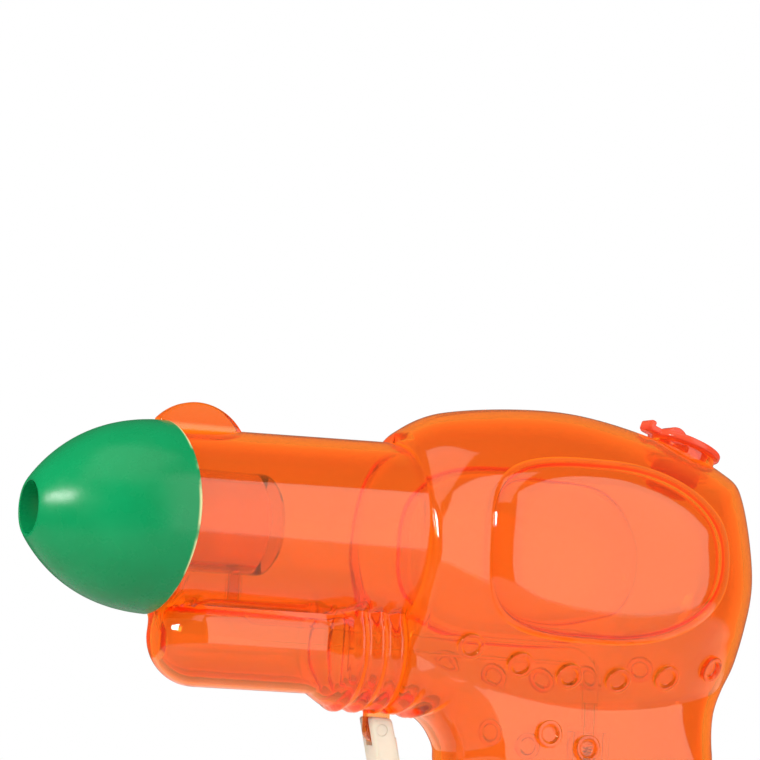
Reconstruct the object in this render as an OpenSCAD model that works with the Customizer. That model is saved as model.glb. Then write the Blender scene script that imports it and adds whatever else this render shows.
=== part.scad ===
// Water squirter: a hollow clear body in two halves with a nose cone, a trigger pump and a filler plug.
// The muzzle points to -X and up is +Z. The halves meet on the plane Y = 0.
// The origin is the middle of the hand grip, and lengths are in millimetres.

/* [Barrel] */
// Outer radius of the barrel at its front face
barrel_front_r = 18.5; // [15:0.1:23]
// Outer radius of the barrel where it meets the body
barrel_r = 19.4; // [16:0.1:24]
// Length of the barrel from its front face to the body
barrel_len = 54; // [45:0.5:80]
// Height of the barrel axis above the middle of the grip
barrel_axis_z = 62; // [56:0.5:70]
// Place of the front of the body along X
junction_x = -51.6; // [-62:0.1:-44]
// Wall of the shell halves
shell_wall = 2; // [1.4:0.1:2.6]
// Height of the front sight over the barrel
sight_h = 5.4; // [2:0.1:8]
// Radius of the front sight's round edge
sight_r = 11.4; // [9:0.1:16]
// Thickness of the front sight
sight_t = 3.4; // [2:0.1:6]
// Middle of the front sight behind the muzzle face
sight_setback = 8.8; // [6:0.1:18]

/* [Nose cone] */
// Length of the nose cone
nose_len = 26.4; // [24:0.1:40]
// Outer radius of the cone's rim
nose_rim_r = 19.8; // [18:0.1:26]
// Outer radius of the cone's tip
nose_tip_r = 6; // [5.8:0.1:9]
// Rise of the cone's side over a straight line
nose_swell = 3.6; // [0.5:0.1:4]
// Wall of the cone
nose_wall = 2.2; // [1.4:0.1:3]
// Radius of the round mouth
mouth_r = 5.4; // [4:0.1:5.6]
// Depth of the mouth
mouth_depth = 5; // [3:0.1:6]
// Thickness of the mouth's floor
mouth_floor = 1.8; // [1:0.1:2.4]
// Length of the ring on the barrel that carries the cone
spigot_len = 6.4; // [4:0.1:8]
// Outer radius of that ring
spigot_r = 14.5; // [13:0.1:15.5]
// Wall of that ring
spigot_wall = 2; // [1.2:0.1:2.5]

/* [Lower tube] */
// Radius of the tube under the barrel
tube_r = 10; // [8:0.1:12]
// Drop of the tube's axis below the barrel's
tube_drop = 23.9; // [20:0.1:26]
// Tip of the tube behind the muzzle face
tube_setback = 1.4; // [1:0.1:6]
// Greatest radius of the ribbed collar
collar_r = 13.4; // [12.4:0.1:14]
// Length of the ribbed collar
collar_len = 13; // [10:0.5:20]
// Ribs on the collar
rib_count = 3; // [2:1:6]
// Depth of the ribs
rib_depth = 1.2; // [0.6:0.1:2]

/* [Body] */
// Width of the body between its sides
body_w = 45; // [40:0.2:50]
// Distance from the front of the body to its crown
crown_run = 38; // [30:0.1:46]
// Height of the crown over the barrel axis
crown_h = 29; // [24:0.1:34]
// Distance from the front of the body to the middle of the filler deck
deck_run = 68.9; // [65:0.1:75]
// Height of the filler deck over the barrel axis
deck_h = 22.3; // [19:0.1:25]
// Slope of the filler deck
deck_tilt = 20; // [10:1:30]
// Length of the filler deck
deck_len = 16; // [12:0.1:20]
// Distance from the front of the body to its rear
rear_run = 85; // [82:0.1:96]
// Drop of that rearmost place below the barrel axis
rear_drop = 4; // [0:0.1:10]
// Drop of the heel, where the grip starts, below the barrel axis
heel_drop = 34; // [28:0.1:38]
// Distance from the front of the body to the heel
heel_run = 77.8; // [73:0.1:83]
// Rounding of the body's sides, measured inwards from its outline
body_round = 29; // [22:0.5:31]
// Rounded front edge of the body where it steps out from the barrel
lip_r = 1.4; // [1:0.1:4]
// Step from the barrel up to the body at the top
lip_h = 2; // [0.5:0.1:4]
// Drop of the ridge between body and grip, at its lowest, below the barrel axis
ridge_drop = 33.6; // [29:0.1:36]
// Distance from the front of the body to the lowest place of the ridge
ridge_run = 43; // [36:0.1:48]
// Radius of the ridge's arc
ridge_arc_r = 95; // [70:1:140]
// Rounding of the body above the ridge
ridge_round = 24; // [16:0.5:30]
// Length of the raised oval on each side
pod_len = 58; // [44:0.5:60]
// Height of the raised oval
pod_h = 38.8; // [30:0.2:41]
// Distance from the front of the body to the middle of the oval
pod_run = 41.3; // [37:0.1:47]
// Drop of the oval's middle below the barrel axis
pod_drop = 1.1; // [0:0.1:3]
// Rise of the oval
pod_rise = 3; // [1.5:0.1:4]
// Rounded border of the oval
pod_round = 4.6; // [3:0.1:7]
// Radius of the round studs
stud_r = 2.9; // [2:0.1:3.4]
// Rise of the round studs
stud_rise = 0.8; // [0.4:0.1:1.4]

/* [Grip] */
// Width of the grip between its sides
grip_w = 27; // [24:0.2:32]
// Drop of the grip's foot below the barrel axis
grip_drop = 88; // [80:0.5:100]
// Distance from the front of the body to the front of the foot
foot_front_run = 38.6; // [31:0.1:43]
// Distance from the front of the body to the rear of the foot
foot_rear_run = 88.4; // [81:0.1:95]
// Distance from the front of the body to the front strap behind the trigger
strap_run = 17.2; // [14:0.1:20]
// Drop of that place below the barrel axis
strap_drop = 44; // [40:0.1:48]
// Rounding of the grip's edges
grip_round = 11; // [8:0.5:14]

/* [Trigger] */
// Room between the ribbed collar and the trigger's ears
pivot_gap = 0.6; // [0.3:0.1:3]
// Pivot of the trigger ahead of the front of the body
pivot_lead = 0.9; // [0.5:0.1:4]
// Radius of the trigger pin
pin_r = 1.25; // [0.8:0.05:1.6]
// Radius of the ears around the pin
ear_r = 2.7; // [2.4:0.05:3.2]
// Thickness of the trigger
trigger_t = 6.4; // [5:0.1:8]
// Length of the trigger below its pivot
trigger_len = 28; // [24:0.5:32]
// Depth of the trigger, front to back
trigger_d = 5.2; // [4:0.1:6]
// Thickness of the lug between the ears
lug_t = 2.4; // [1.6:0.1:3]
// Clearance on each side of the lug
lug_clear = 0.2; // [0.1:0.05:0.4]

/* [Pump] */
// Drop of the pump's axis below the trigger's pivot
pump_drop = 15; // [13:0.1:17]
// Radius of the pump's bore
bore_r = 5; // [4:0.1:5.5]
// Wall of the pump
pump_wall = 1.5; // [1:0.1:2]
// Mouth of the pump behind the front of the body
pump_run = 19.7; // [18.6:0.1:21.6]
// Depth of the pump's bore
bore_len = 33; // [30:0.5:38]
// Thickness of the pump's end
pump_end = 4; // [2.5:0.1:6]
// Wall of the boss that holds the pump's mouth
boss_wall = 2.1; // [1.5:0.1:3]
// Length of that boss
boss_len = 11; // [8:0.5:14]
// Running clearance of pins, rods and pistons
fit = 0.05; // [0.02:0.01:0.1]
// Flange of the gland bush
gland_flange = 1.5; // [1:0.1:2]
// Length of the gland bush inside the bore
gland_len = 4; // [3:0.1:5]
// Radius of the plunger's rod
rod_r = 2; // [1.5:0.1:2.5]
// Length of the piston
piston_len = 6; // [4.5:0.1:7]
// Radius of the plunger's knob
knob_r = 3.2; // [2.6:0.1:4]
// Length of the plunger's knob
knob_len = 3.4; // [2.5:0.1:4]
// Gap between the trigger and the knob
touch_gap = 0.3; // [0.2:0.05:0.5]
// Thickness of the plunger's seal ring
seal_d = 1.6; // [1.2:0.1:2]
// Mean radius of the return spring
spring_r = 3.6; // [3:0.1:4]
// Wire of the return spring
spring_wire = 0.7; // [0.5:0.05:0.9]
// Turns of the return spring
spring_turns = 9; // [6:1:11]

/* [Valves] */
// Radius of the valve balls
ball_r = 1.6; // [1.3:0.05:1.9]
// Radius of the hole under each ball
seat_r = 1; // [0.8:0.05:1.15]
// Radius of the valve chambers
chamber_r = 3; // [2.5:0.1:3.4]
// Wall of the valve bosses
valve_wall = 1.5; // [1:0.1:2]
// Height of the lower valve boss
inlet_len = 7.5; // [6.5:0.1:9]
// Height of the upper valve boss
outlet_len = 10.5; // [9.5:0.1:12]
// Thickness between the pump's bore and the valve chambers
web_t = 3; // [2:0.1:3.5]
// Depth of the fittings in their bosses
plug_in = 2.4; // [1.5:0.1:3]
// Flange of the fittings
fitting_flange = 1.2; // [0.8:0.1:2]
// Length of the barbs
barb_len = 5.3; // [4:0.1:6]
// Radius of the barbs
barb_r = 1.6; // [1.4:0.05:1.9]
// Outer radius of the soft tubes
hose_r = 2.3; // [2.1:0.05:2.8]
// Bend radius of the delivery tube
hose_bend = 6; // [5:0.1:7]
// Drop of the delivery tube's long run below the barrel axis
hose_drop = 22; // [20:0.1:24]
// Gap between the dip tube and the floor of the grip
dip_gap = 2; // [1:0.1:4]
// Wire of the outlet spring
valve_wire = 0.4; // [0.3:0.02:0.45]
// Turns of the outlet spring
valve_turns = 4; // [3:1:4]

/* [Nozzle] */
// Outer radius of the nozzle sleeve in the barrel
sleeve_r = 10.5; // [9.5:0.1:10.8]
// Outer radius of the sleeve's neck in the cone
neck_r = 7.5; // [7:0.1:8]
// Wall of the nozzle sleeve
sleeve_wall = 1.7; // [1.2:0.1:2.2]
// Length of the sleeve behind the muzzle face
sleeve_run = 26; // [22:0.1:32]
// Rim of the sleeve's flange beyond the sleeve
sleeve_flange = 1.6; // [1:0.1:1.7]
// Thickness of the sleeve's flange
sleeve_flange_t = 1.4; // [1:0.1:2]
// Thickness of the sleeve's washer
washer_t = 1; // [0.6:0.1:1.6]
// Distance from the sleeve's rear end to its inlet barb
sleeve_port = 7; // [5:0.1:9]
// Radius of the jet hole
jet_r = 0.6; // [0.3:0.05:1]
// Radius of the jet's nose
jet_nose_r = 2.5; // [2:0.1:3]
// Length of the jet's plug in the sleeve
jet_plug = 3; // [2:0.1:5]

/* [Filler plug] */
// Radius of the filler hole
filler_r = 5.6; // [4.5:0.1:6.5]
// Wall of the ring around the filler hole
filler_wall = 1.8; // [1.2:0.1:2.5]
// Rise of that ring over the deck
filler_rise = 1; // [0.6:0.1:2]
// Clearance of the plug's stem in the hole
plug_clear = 0.1; // [0.06:0.02:0.2]
// Radius of the plug's flange
cap_r = 8.2; // [8:0.1:11]
// Thickness of the plug's flange
cap_t = 1.5; // [1:0.1:2.5]
// Length of the plug's stem
stem_len = 8; // [6:0.1:12]
// Reach of the pull tab beyond the flange
tab_reach = 2.4; // [2:0.1:7]
// Width of the pull tab
tab_w = 5; // [3:0.1:7]

/* [Hidden] */
$fn = 48;

// Levels and places that several pieces share
muzzle_x = junction_x - barrel_len;
tip_x = muzzle_x + tube_setback;
tube_mid_x = tip_x + tube_r;
collar_x = junction_x - collar_len;
collar_ramp = 3.6;
tip_ramp = 1;
tube_z = barrel_axis_z - tube_drop;
foot_z = barrel_axis_z - grip_drop;
nose_x = muzzle_x - nose_len;
pivot_x = junction_x - pivot_lead;
pivot_z = tube_z - collar_r - ear_r - pivot_gap;
pump_z = pivot_z - pump_drop;
pump_x = junction_x + pump_run;
pump_r = bore_r + pump_wall;
bore_x = pump_x + gland_flange;
bore_end_x = bore_x + bore_len;
valve_x = bore_end_x - bore_r;
valve_r = chamber_r + valve_wall;
slip = 0.02;
web_half = 2.5;
body_low = tube_drop + collar_r - rib_depth;
deck_x = junction_x + deck_run;
deck_z = barrel_axis_z + deck_h;

// Round sections, rounded edges and soft rises
function circ(r, d) = sqrt(max(0, r * r - d * d));
function edge(t, n) = pow(1 - pow(1 - max(0, min(1, t)), n), 1 / n);
function swell(t) = sin(90 * max(0, min(1, t)));
function mix(a, b, t) = a + (b - a) * max(0, min(1, t));

// A smooth curve through rows of values, by Catmull and Rom's cubic
function curve(p, t) =
    let (n = len(p) - 1, i = max(0, min(floor(t), n - 1)), f = t - i)
    let (a = p[max(i - 1, 0)], b = p[i], c = p[i + 1], d = p[min(i + 2, n)])
    0.5 * (2 * b + (c - a) * f + (2 * a - 5 * b + 4 * c - d) * f * f + (3 * b - a - 3 * c + d) * f * f * f);

// Upper outline of body and grip, from the barrel over the crown, the deck and the rear to the foot
half_deck = [cos(deck_tilt), -sin(deck_tilt)] * deck_len / 2;
deck_end = [deck_run, deck_h] + half_deck;
upper_rows = [
    [0, barrel_r + lip_h],
    [crown_run * 0.3, mix(barrel_r, crown_h, 0.77)],
    [crown_run, crown_h],
    [deck_run, deck_h] - half_deck,
    deck_end,
    [mix(deck_end[0], rear_run, 0.6), mix(deck_end[1], -rear_drop, 0.24)],
    [rear_run, -rear_drop],
    [mix(rear_run, heel_run, 0.3), -mix(rear_drop, heel_drop, 0.56)],
    [heel_run, -heel_drop],
    [mix(heel_run, foot_rear_run, 0.06), -mix(heel_drop, grip_drop, 0.31)],
    [mix(heel_run, foot_rear_run, 0.5), -mix(heel_drop, grip_drop, 0.67)],
    [foot_rear_run, -grip_drop]
];

// Lower outline, from the collar's end round the corner behind the trigger and down the front strap
corner = [strap_run * 0.78, 0.8 - body_low];
function corner_row(f) =
    (1 - f) * (1 - f) * [0, -body_low] + 2 * f * (1 - f) * corner + f * f * [strap_run, -strap_drop];
lower_rows = [
    for (k = [0 : 7]) corner_row(k / 7),
    [mix(strap_run, foot_front_run, 0.06), -mix(strap_drop, grip_drop, 0.075)],
    [mix(strap_run, foot_front_run, 0.165), -mix(strap_drop, grip_drop, 0.23)],
    [mix(strap_run, foot_front_run, 0.55), -mix(strap_drop, grip_drop, 0.61)],
    [foot_front_run, -grip_drop]
];
last_row = len(upper_rows) - 1;
tiny = 0.01;
function outline_step(p, t) =
    let (d = curve(p, min(t + tiny, last_row)) - curve(p, max(t - tiny, 0))) d / norm(d);
function place(p) = [p[0] + junction_x, p[1] + barrel_axis_z];

// The outlines moved inwards by g, with the floor of the grip raised by g
function raised(p, g) = [p[0], max(p[1], foot_z + g)];
function upper_at(t, g) =
    let (d = outline_step(upper_rows, t)) raised(place(curve(upper_rows, t) + g * [d[1], -d[0]]), g);
// The collar's ribs run on a little way under the body
rib_pitch = collar_len / rib_count;
function rib_at(run) = run > 4 * rib_pitch ? 0 : rib_depth * (1 - cos(360 * run / rib_pitch)) / 2;
function lower_at(t, g) =
    let (d = outline_step(lower_rows, t), p = curve(lower_rows, t), out = g > 0 ? g : -rib_at(p[0]))
    raised(place(p + out * [-d[1], d[0]]), g);

// Radius of the lower tube at x: a round tip, a straight run and the ribs of the collar
function collar_at(f) = collar_r - rib_depth * (1 + cos(360 * rib_count * f)) / 2;
function tube_at(x, g) =
    x < tube_mid_x ? circ(tube_r - g, x - tube_mid_x) :
    x < collar_x ? mix(tube_r, collar_r - rib_depth, (x - collar_x + collar_ramp) / collar_ramp) - g :
    (g > 0 ? collar_r - rib_depth : collar_at((x - collar_x) / collar_len)) - g;
function barrel_at(x) = mix(barrel_front_r, barrel_r, (x - muzzle_x) / barrel_len);
function barrel_low(x, g) =
    let (floor_z = barrel_axis_z - barrel_at(x) + g)
    mix(floor_z, min(floor_z, tube_z - tube_at(x, g)), (x - tip_x - g) / tip_ramp);

// Half width of barrel and lower tube at x and z: the two round sections, blended where they meet
blend = 8;
function barrel_half(x, z, g) =
    let (r = barrel_at(x), a = circ(r - g, z - barrel_axis_z))
    let (b = x > tip_x + g ? circ(tube_at(x, g), z - tube_z) : 0)
    let (h = web_half - 0.6 * g)
    let (web = z < barrel_axis_z - 0.9 * r ? h * edge((z - barrel_low(x, g)) / h, 2) : 0)
    max(pow(pow(a, blend) + pow(b, blend), 1 / blend), web);

// Half width of body and grip at a place on row t, from the ridge, the rounded outlines and the oval's rise.
// The oval is nearly straight in front and round behind.
roundness = 2.3;
pod_front = 3.4;
pod_rear = 2.2;
function ridge_z(x) =
    let (d = x - junction_x - ridge_run) barrel_axis_z - ridge_drop + d * d / (2 * ridge_arc_r);
function pod_at(x, z, g) =
    let (run = x - junction_x - pod_run, drop = z - barrel_axis_z + pod_drop, n = run < 0 ? pod_front : pod_rear)
    let (e = pow(pow(abs(run) / (pod_len / 2 - g), n) + pow(abs(drop) / (pod_h / 2 - g), n), 1 / n))
    pod_rise * edge((1 - e) * (pod_h / 2 - g) / pod_round, 2);
function body_half(p, u, l, t, g) =
    let (side = (grip_w + (body_w - grip_w) * swell((p[1] - ridge_z(p[0])) / ridge_round)) / 2)
    let (upper_round = mix(body_round, grip_round, (t - 6.5) / 2) - g, lower_round = grip_round - g)
    let (w = (side - g) * edge(norm(p - u) / upper_round, 2))
    let (body = w * edge(norm(p - l) / lower_round, roundness) + pod_at(p[0], p[1], g))
    let (f = (p[0] - junction_x - g / 2) / lip_r)
    f >= 1 ? body : mix(barrel_half(junction_x, p[1], g), body, edge(f, 2));

// The row that passes through a place, found by halving, and the half width there
function row_at(p, lo, hi, n) =
    let (m = (lo + hi) / 2, u = upper_at(m, 0), l = lower_at(m, 0), d = u - l, q = p - l)
    n == 0 ? m : d[0] * q[1] - d[1] * q[0] > 0 ? row_at(p, lo, m, n - 1) : row_at(p, m, hi, n - 1);
function side_at(p) = let (t = row_at(p, 0, last_row, 18)) body_half(p, upper_at(t, 0), lower_at(t, 0), t, 0);

// Sections of one half, from the muzzle face to the foot, on a grid of steps from top to bottom
steps = 22;
rows_between = 5;
tip_steps = [0, 0.06, 0.18, 0.36, 0.65];
barrel_stations = [
    muzzle_x,
    for (f = tip_steps) tip_x + f * tube_r,
    tube_mid_x,
    collar_x - collar_ramp,
    for (k = [0 : 4 * rib_count]) collar_x + collar_len * k / (4 * rib_count)
];
last_step = last_row * rows_between;
body_stations = [for (k = [1 : last_step]) if (k != last_step - 1) k / rows_between];
function side_point(p, half, j) = [p[0], j == 0 || j == steps ? 0 : -half, p[1]];
function barrel_section(x, g) =
    let (xg = muzzle_x + g + (x - muzzle_x) * (barrel_len - g) / barrel_len)
    let (top = barrel_axis_z + barrel_at(xg) - g, low = barrel_low(xg, g))
    [for (j = [0 : steps])
        let (z = mix(top, low, (1 - cos(180 * j / steps)) / 2))
        side_point([xg, z], barrel_half(xg, z, g), j)];
function body_section(t, g) =
    let (u = upper_at(t, g), l = lower_at(t, g))
    [for (j = [0 : steps])
        let (p = u + (l - u) * (1 - cos(180 * j / steps)) / 2)
        side_point(p, body_half(p, u, l, t, g), j)];
function half_points(g) = [
    for (x = barrel_stations) each barrel_section(x, g),
    for (t = body_stations) each body_section(t, g)
];

// One half as a closed solid: outer skin, inner skin, end walls and the flat seam between them
module half_skin() {
    rows = len(barrel_stations) + len(body_stations);
    inner = rows * (steps + 1);
    end = rows - 1;
    function o(i, j) = i * (steps + 1) + j;
    function n(i, j) = inner + o(i, j);
    outer_faces = [for (i = [0 : end - 1], j = [0 : steps - 1])
        each [[o(i, j), o(i + 1, j), o(i + 1, j + 1)], [o(i, j), o(i + 1, j + 1), o(i, j + 1)]]];
    inner_faces = [for (f = outer_faces) [f[0] + inner, f[2] + inner, f[1] + inner]];
    wall_faces = [for (j = [1 : steps - 1])
        each [[o(0, 0), o(0, j), o(0, j + 1)], [n(0, 0), n(0, j + 1), n(0, j)],
              [o(end, 0), o(end, j + 1), o(end, j)], [n(end, 0), n(end, j), n(end, j + 1)]]];
    seam_faces = [for (i = [0 : end - 1])
        each [[o(i + 1, 0), o(i, 0), n(i, 0)], [o(i + 1, 0), n(i, 0), n(i + 1, 0)],
              [n(i + 1, steps), n(i, steps), o(i, steps)], [n(i + 1, steps), o(i, steps), o(i + 1, steps)]]];
    end_seams = [[n(0, 0), o(0, 0), o(0, steps)], [n(0, 0), o(0, steps), n(0, steps)],
                 [n(end, 0), n(end, steps), o(end, steps)], [n(end, 0), o(end, steps), o(end, 0)]];
    polyhedron(concat(half_points(0), half_points(shell_wall)),
               concat(outer_faces, inner_faces, wall_faces, seam_faces, end_seams));
}

// Turns a profile or a solid of revolution onto the barrel's direction
module along_x(x, z) {
    translate([x, 0, z]) rotate([0, 90, 0]) children();
}

// Half a ring on the left side of the seam, from a profile of radius and height
module half_ring(r_in, r_out, h) {
    rotate(180) rotate_extrude(angle = 180) translate([r_in, 0]) square([r_out - r_in, h]);
}

// A flat outline in X and Z, extruded to the left of the seam
module left_plate(t) {
    rotate([90, 0, 0]) linear_extrude(t) children();
}

module sight_half() {
    foot = barrel_axis_z + barrel_at(muzzle_x + sight_setback) - shell_wall / 2;
    top_z = foot + shell_wall / 2 + sight_h;
    left_plate(sight_t / 2) intersection() {
        translate([muzzle_x + sight_setback, top_z - sight_r]) circle(sight_r);
        translate([muzzle_x + touch_gap, foot]) square([sight_setback + sight_r, sight_h + shell_wall]);
    }
}

module lug_half() {
    left_plate(lug_t / 2) union() {
        translate([pivot_x, pivot_z]) circle(ear_r - 0.1);
        translate([pivot_x - ear_r + 0.1, pivot_z])
            square([2 * ear_r - 0.2, tube_z - collar_r + rib_depth + shell_wall / 2 - pivot_z]);
    }
}

module deck_frame() {
    translate([deck_x, 0, deck_z]) rotate([0, deck_tilt, 0]) children();
}

// Studs, hollow in the middle, stand on an arc above the ridge, and two more on the grip
stud_lift = 6.1;
stud_runs = [for (k = [0 : 5]) 11.6 + 11.6 * k];
grip_studs = [[32.6, -39.5], [41.8, -42.1]];
stud_places = concat(
    [for (r = stud_runs) [junction_x + r, ridge_z(junction_x + r) + stud_lift]],
    [for (s = grip_studs) place(s)]);
function slope(p, d) = (side_at(p + d) - side_at(p - d)) / (2 * norm(d));
module studs() {
    root = 0.8 * shell_wall;
    for (p = stud_places)
        translate([p[0], -side_at(p), p[1]])
            rotate([90 + atan(slope(p, [0, stud_r])), 0, -atan(slope(p, [stud_r, 0]))]) difference() {
                translate([0, 0, -root]) cylinder(r = stud_r, h = root + stud_rise);
                translate([0, 0, stud_rise / 2]) cylinder(r = stud_r * 0.6, h = stud_rise);
            }
}

module shell_half() {
    color([1, 0.36, 0.04, 0.75]) difference() {
        union() {
            half_skin();
            sight_half();
            lug_half();
            studs();
            deck_frame() translate([0, 0, -shell_wall * 1.5])
                half_ring(filler_r - shell_wall / 2, filler_r + filler_wall, filler_rise + shell_wall * 1.5);
            along_x(pump_x, pump_z) half_ring(pump_r - shell_wall / 2, pump_r + boss_wall, boss_len);
            along_x(muzzle_x - spigot_len, barrel_axis_z)
                half_ring(spigot_r - spigot_wall, spigot_r, spigot_len + shell_wall / 2);
        }
        along_x(muzzle_x - spigot_len, barrel_axis_z)
            cylinder(r = sleeve_r + fit, h = spigot_len + 2 * shell_wall);
        deck_frame() translate([0, 0, -3 * shell_wall]) cylinder(r = filler_r, h = 6 * shell_wall);
        along_x(pump_x - boss_len, pump_z) cylinder(r = pump_r + fit, h = 2 * boss_len + shell_wall);
        translate([pivot_x, 0, pivot_z]) rotate([90, 0, 0])
            cylinder(r = pin_r + fit, h = lug_t, center = true);
    }
}

module left_shell() {
    shell_half();
}

module right_shell() {
    mirror([0, 1, 0]) shell_half();
}

// Nose cone: swelling side, mouth with a floor, and a bore at the rear that slides over the barrel's ring
nose_steps = 14;
function nose_side(f, wall) =
    let (slope = atan2(nose_rim_r - nose_tip_r, nose_len), a = 4 * nose_swell * f * (1 - f) - wall)
    [mix(nose_tip_r, nose_rim_r, f) + a * cos(slope), mix(0, nose_len, f) - a * sin(slope)];
module nose_cone() {
    land = spigot_len + 0.2;
    color([0.08, 0.62, 0.36]) along_x(nose_x, barrel_axis_z) difference() {
        rotate_extrude()
            polygon([[0, 0], for (k = [0 : nose_steps]) nose_side(k / nose_steps, 0), [0, nose_len]]);
        translate([0, 0, -1]) cylinder(r = mouth_r, h = mouth_depth + 1);
        translate([0, 0, mouth_depth - 1]) cylinder(r = jet_nose_r + fit, h = mouth_floor + 2);
        translate([0, 0, nose_len - land]) cylinder(r = spigot_r + fit, h = land + 1);
        rotate_extrude() intersection() {
            polygon([[0, 0], for (k = [0 : nose_steps]) nose_side(k / nose_steps, nose_wall), [0, nose_len]]);
            translate([0, mouth_depth + mouth_floor])
                square([nose_rim_r, nose_len - land - mouth_depth - mouth_floor + slip]);
        }
    }
}

// Nozzle sleeve: closed behind, open in front for the jet, with a flange and an inlet barb below
sleeve_front_x = nose_x + mouth_depth + mouth_floor + 1.2;
sleeve_end_x = muzzle_x + sleeve_run;
port_x = sleeve_end_x - sleeve_port;
module nozzle_sleeve() {
    flange_x = muzzle_x - washer_t - sleeve_flange_t;
    run = sleeve_end_x - flange_x;
    port_foot = barrel_axis_z - sleeve_r - barb_len;
    color([1, 0.42, 0.08, 0.8]) difference() {
        union() {
            along_x(sleeve_front_x, barrel_axis_z)
                cylinder(r = neck_r, h = flange_x - sleeve_front_x + sleeve_wall);
            along_x(flange_x, barrel_axis_z) cylinder(r = sleeve_r + sleeve_flange, h = sleeve_flange_t);
            along_x(flange_x, barrel_axis_z) cylinder(r = sleeve_r, h = run - sleeve_wall);
            along_x(sleeve_end_x - sleeve_wall, barrel_axis_z)
                cylinder(r1 = sleeve_r, r2 = sleeve_r - sleeve_wall, h = sleeve_wall);
            translate([port_x, 0, port_foot]) cylinder(r = barb_r, h = barb_len + sleeve_wall);
        }
        along_x(sleeve_front_x - 1, barrel_axis_z) cylinder(r = neck_r - sleeve_wall, h = run);
        along_x(flange_x + sleeve_wall, barrel_axis_z)
            cylinder(r = sleeve_r - sleeve_wall, h = run - 3 * sleeve_wall);
        translate([port_x, 0, port_foot - 1]) cylinder(r = seat_r, h = barb_len + sleeve_r + 1);
    }
}

module sleeve_seal() {
    color([0.12, 0.12, 0.12]) along_x(muzzle_x - washer_t, barrel_axis_z) difference() {
        cylinder(r = sleeve_r + sleeve_flange, h = washer_t);
        translate([0, 0, -1]) cylinder(r = sleeve_r + slip, h = washer_t + 2);
    }
}

module jet_tip() {
    nose = sleeve_front_x - nose_x - mouth_depth;
    color([0.93, 0.87, 0.74]) along_x(nose_x + mouth_depth, barrel_axis_z) difference() {
        union() {
            cylinder(r = jet_nose_r, h = nose + 0.5);
            translate([0, 0, nose]) cylinder(r = neck_r - sleeve_wall - slip, h = jet_plug);
        }
        translate([0, 0, -1]) cylinder(r = jet_r, h = nose + jet_plug + 2);
        translate([0, 0, 1.5]) cylinder(r = jet_nose_r - 1, h = nose + jet_plug);
    }
}

// Pump: a bore behind the front strap with a valve boss below and one above its closed end
inlet_top = pump_z - bore_r - web_t;
inlet_foot = pump_z - bore_r - inlet_len - pump_wall;
outlet_floor = pump_z + bore_r + web_t;
outlet_top = pump_z + bore_r + outlet_len + pump_wall;
module pump_cylinder() {
    color([0.92, 0.9, 0.84, 0.85]) difference() {
        union() {
            along_x(bore_x, pump_z) cylinder(r = pump_r, h = bore_len + pump_end);
            translate([valve_x, 0, inlet_foot]) cylinder(r = valve_r, h = pump_z - inlet_foot);
            translate([valve_x, 0, pump_z]) cylinder(r = valve_r, h = outlet_top - pump_z);
        }
        along_x(bore_x - 1, pump_z) cylinder(r = bore_r, h = bore_len + 1);
        translate([valve_x, 0, inlet_foot - 1]) cylinder(r = chamber_r, h = inlet_top - inlet_foot + 1);
        translate([valve_x, 0, inlet_top - 1]) cylinder(r = seat_r + 0.2, h = web_t + bore_r);
        translate([valve_x, 0, pump_z]) cylinder(r = seat_r + 0.1, h = bore_r + web_t + 1);
        translate([valve_x, 0, outlet_floor]) cylinder(r = chamber_r, h = outlet_top - outlet_floor + 1);
    }
}

module pump_gland() {
    color([0.93, 0.87, 0.74]) along_x(pump_x, pump_z) difference() {
        union() {
            cylinder(r = pump_r, h = gland_flange);
            cylinder(r = bore_r - fit, h = gland_flange + gland_len);
        }
        translate([0, 0, -1]) cylinder(r = rod_r + fit, h = gland_flange + gland_len + 2);
    }
}

// Trigger: round ears on the pin and a curved finger piece below, slotted for the lug
trigger_steps = 12;
lean = 15;
function spine(f) =
    let (d = f * trigger_len)
    [pivot_x + trigger_d * 0.15 + d * tan(lean) * (1 - 1.02 * f) + trigger_d * 0.32 * f, pivot_z - d];
function spine_half(f) = trigger_d / 2 * (1 - 0.25 * f);
trigger_back_x = spine(pump_drop / trigger_len)[0] + spine_half(pump_drop / trigger_len);
module trigger() {
    tip = spine(1);
    color([0.93, 0.87, 0.74]) difference() {
        rotate([90, 0, 0]) linear_extrude(trigger_t, center = true) union() {
            translate([pivot_x, pivot_z]) circle(ear_r);
            translate(tip) circle(spine_half(1));
            polygon([
                for (k = [0 : trigger_steps]) let (f = k / trigger_steps) spine(f) - [spine_half(f), 0],
                for (k = [trigger_steps : -1 : 0]) let (f = k / trigger_steps) spine(f) + [spine_half(f), 0]
            ]);
        }
        translate([pivot_x, 0, pivot_z])
            cube([4 * ear_r, lug_t + 2 * lug_clear, 2 * ear_r + 1], center = true);
        translate([pivot_x, 0, pivot_z]) rotate([90, 0, 0])
            cylinder(r = pin_r, h = trigger_t + 2, center = true);
    }
}

module trigger_pin() {
    color([0.93, 0.87, 0.74]) translate([pivot_x, 0, pivot_z]) rotate([90, 0, 0])
        cylinder(r = pin_r, h = trigger_t + 0.4, center = true);
}

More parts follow.
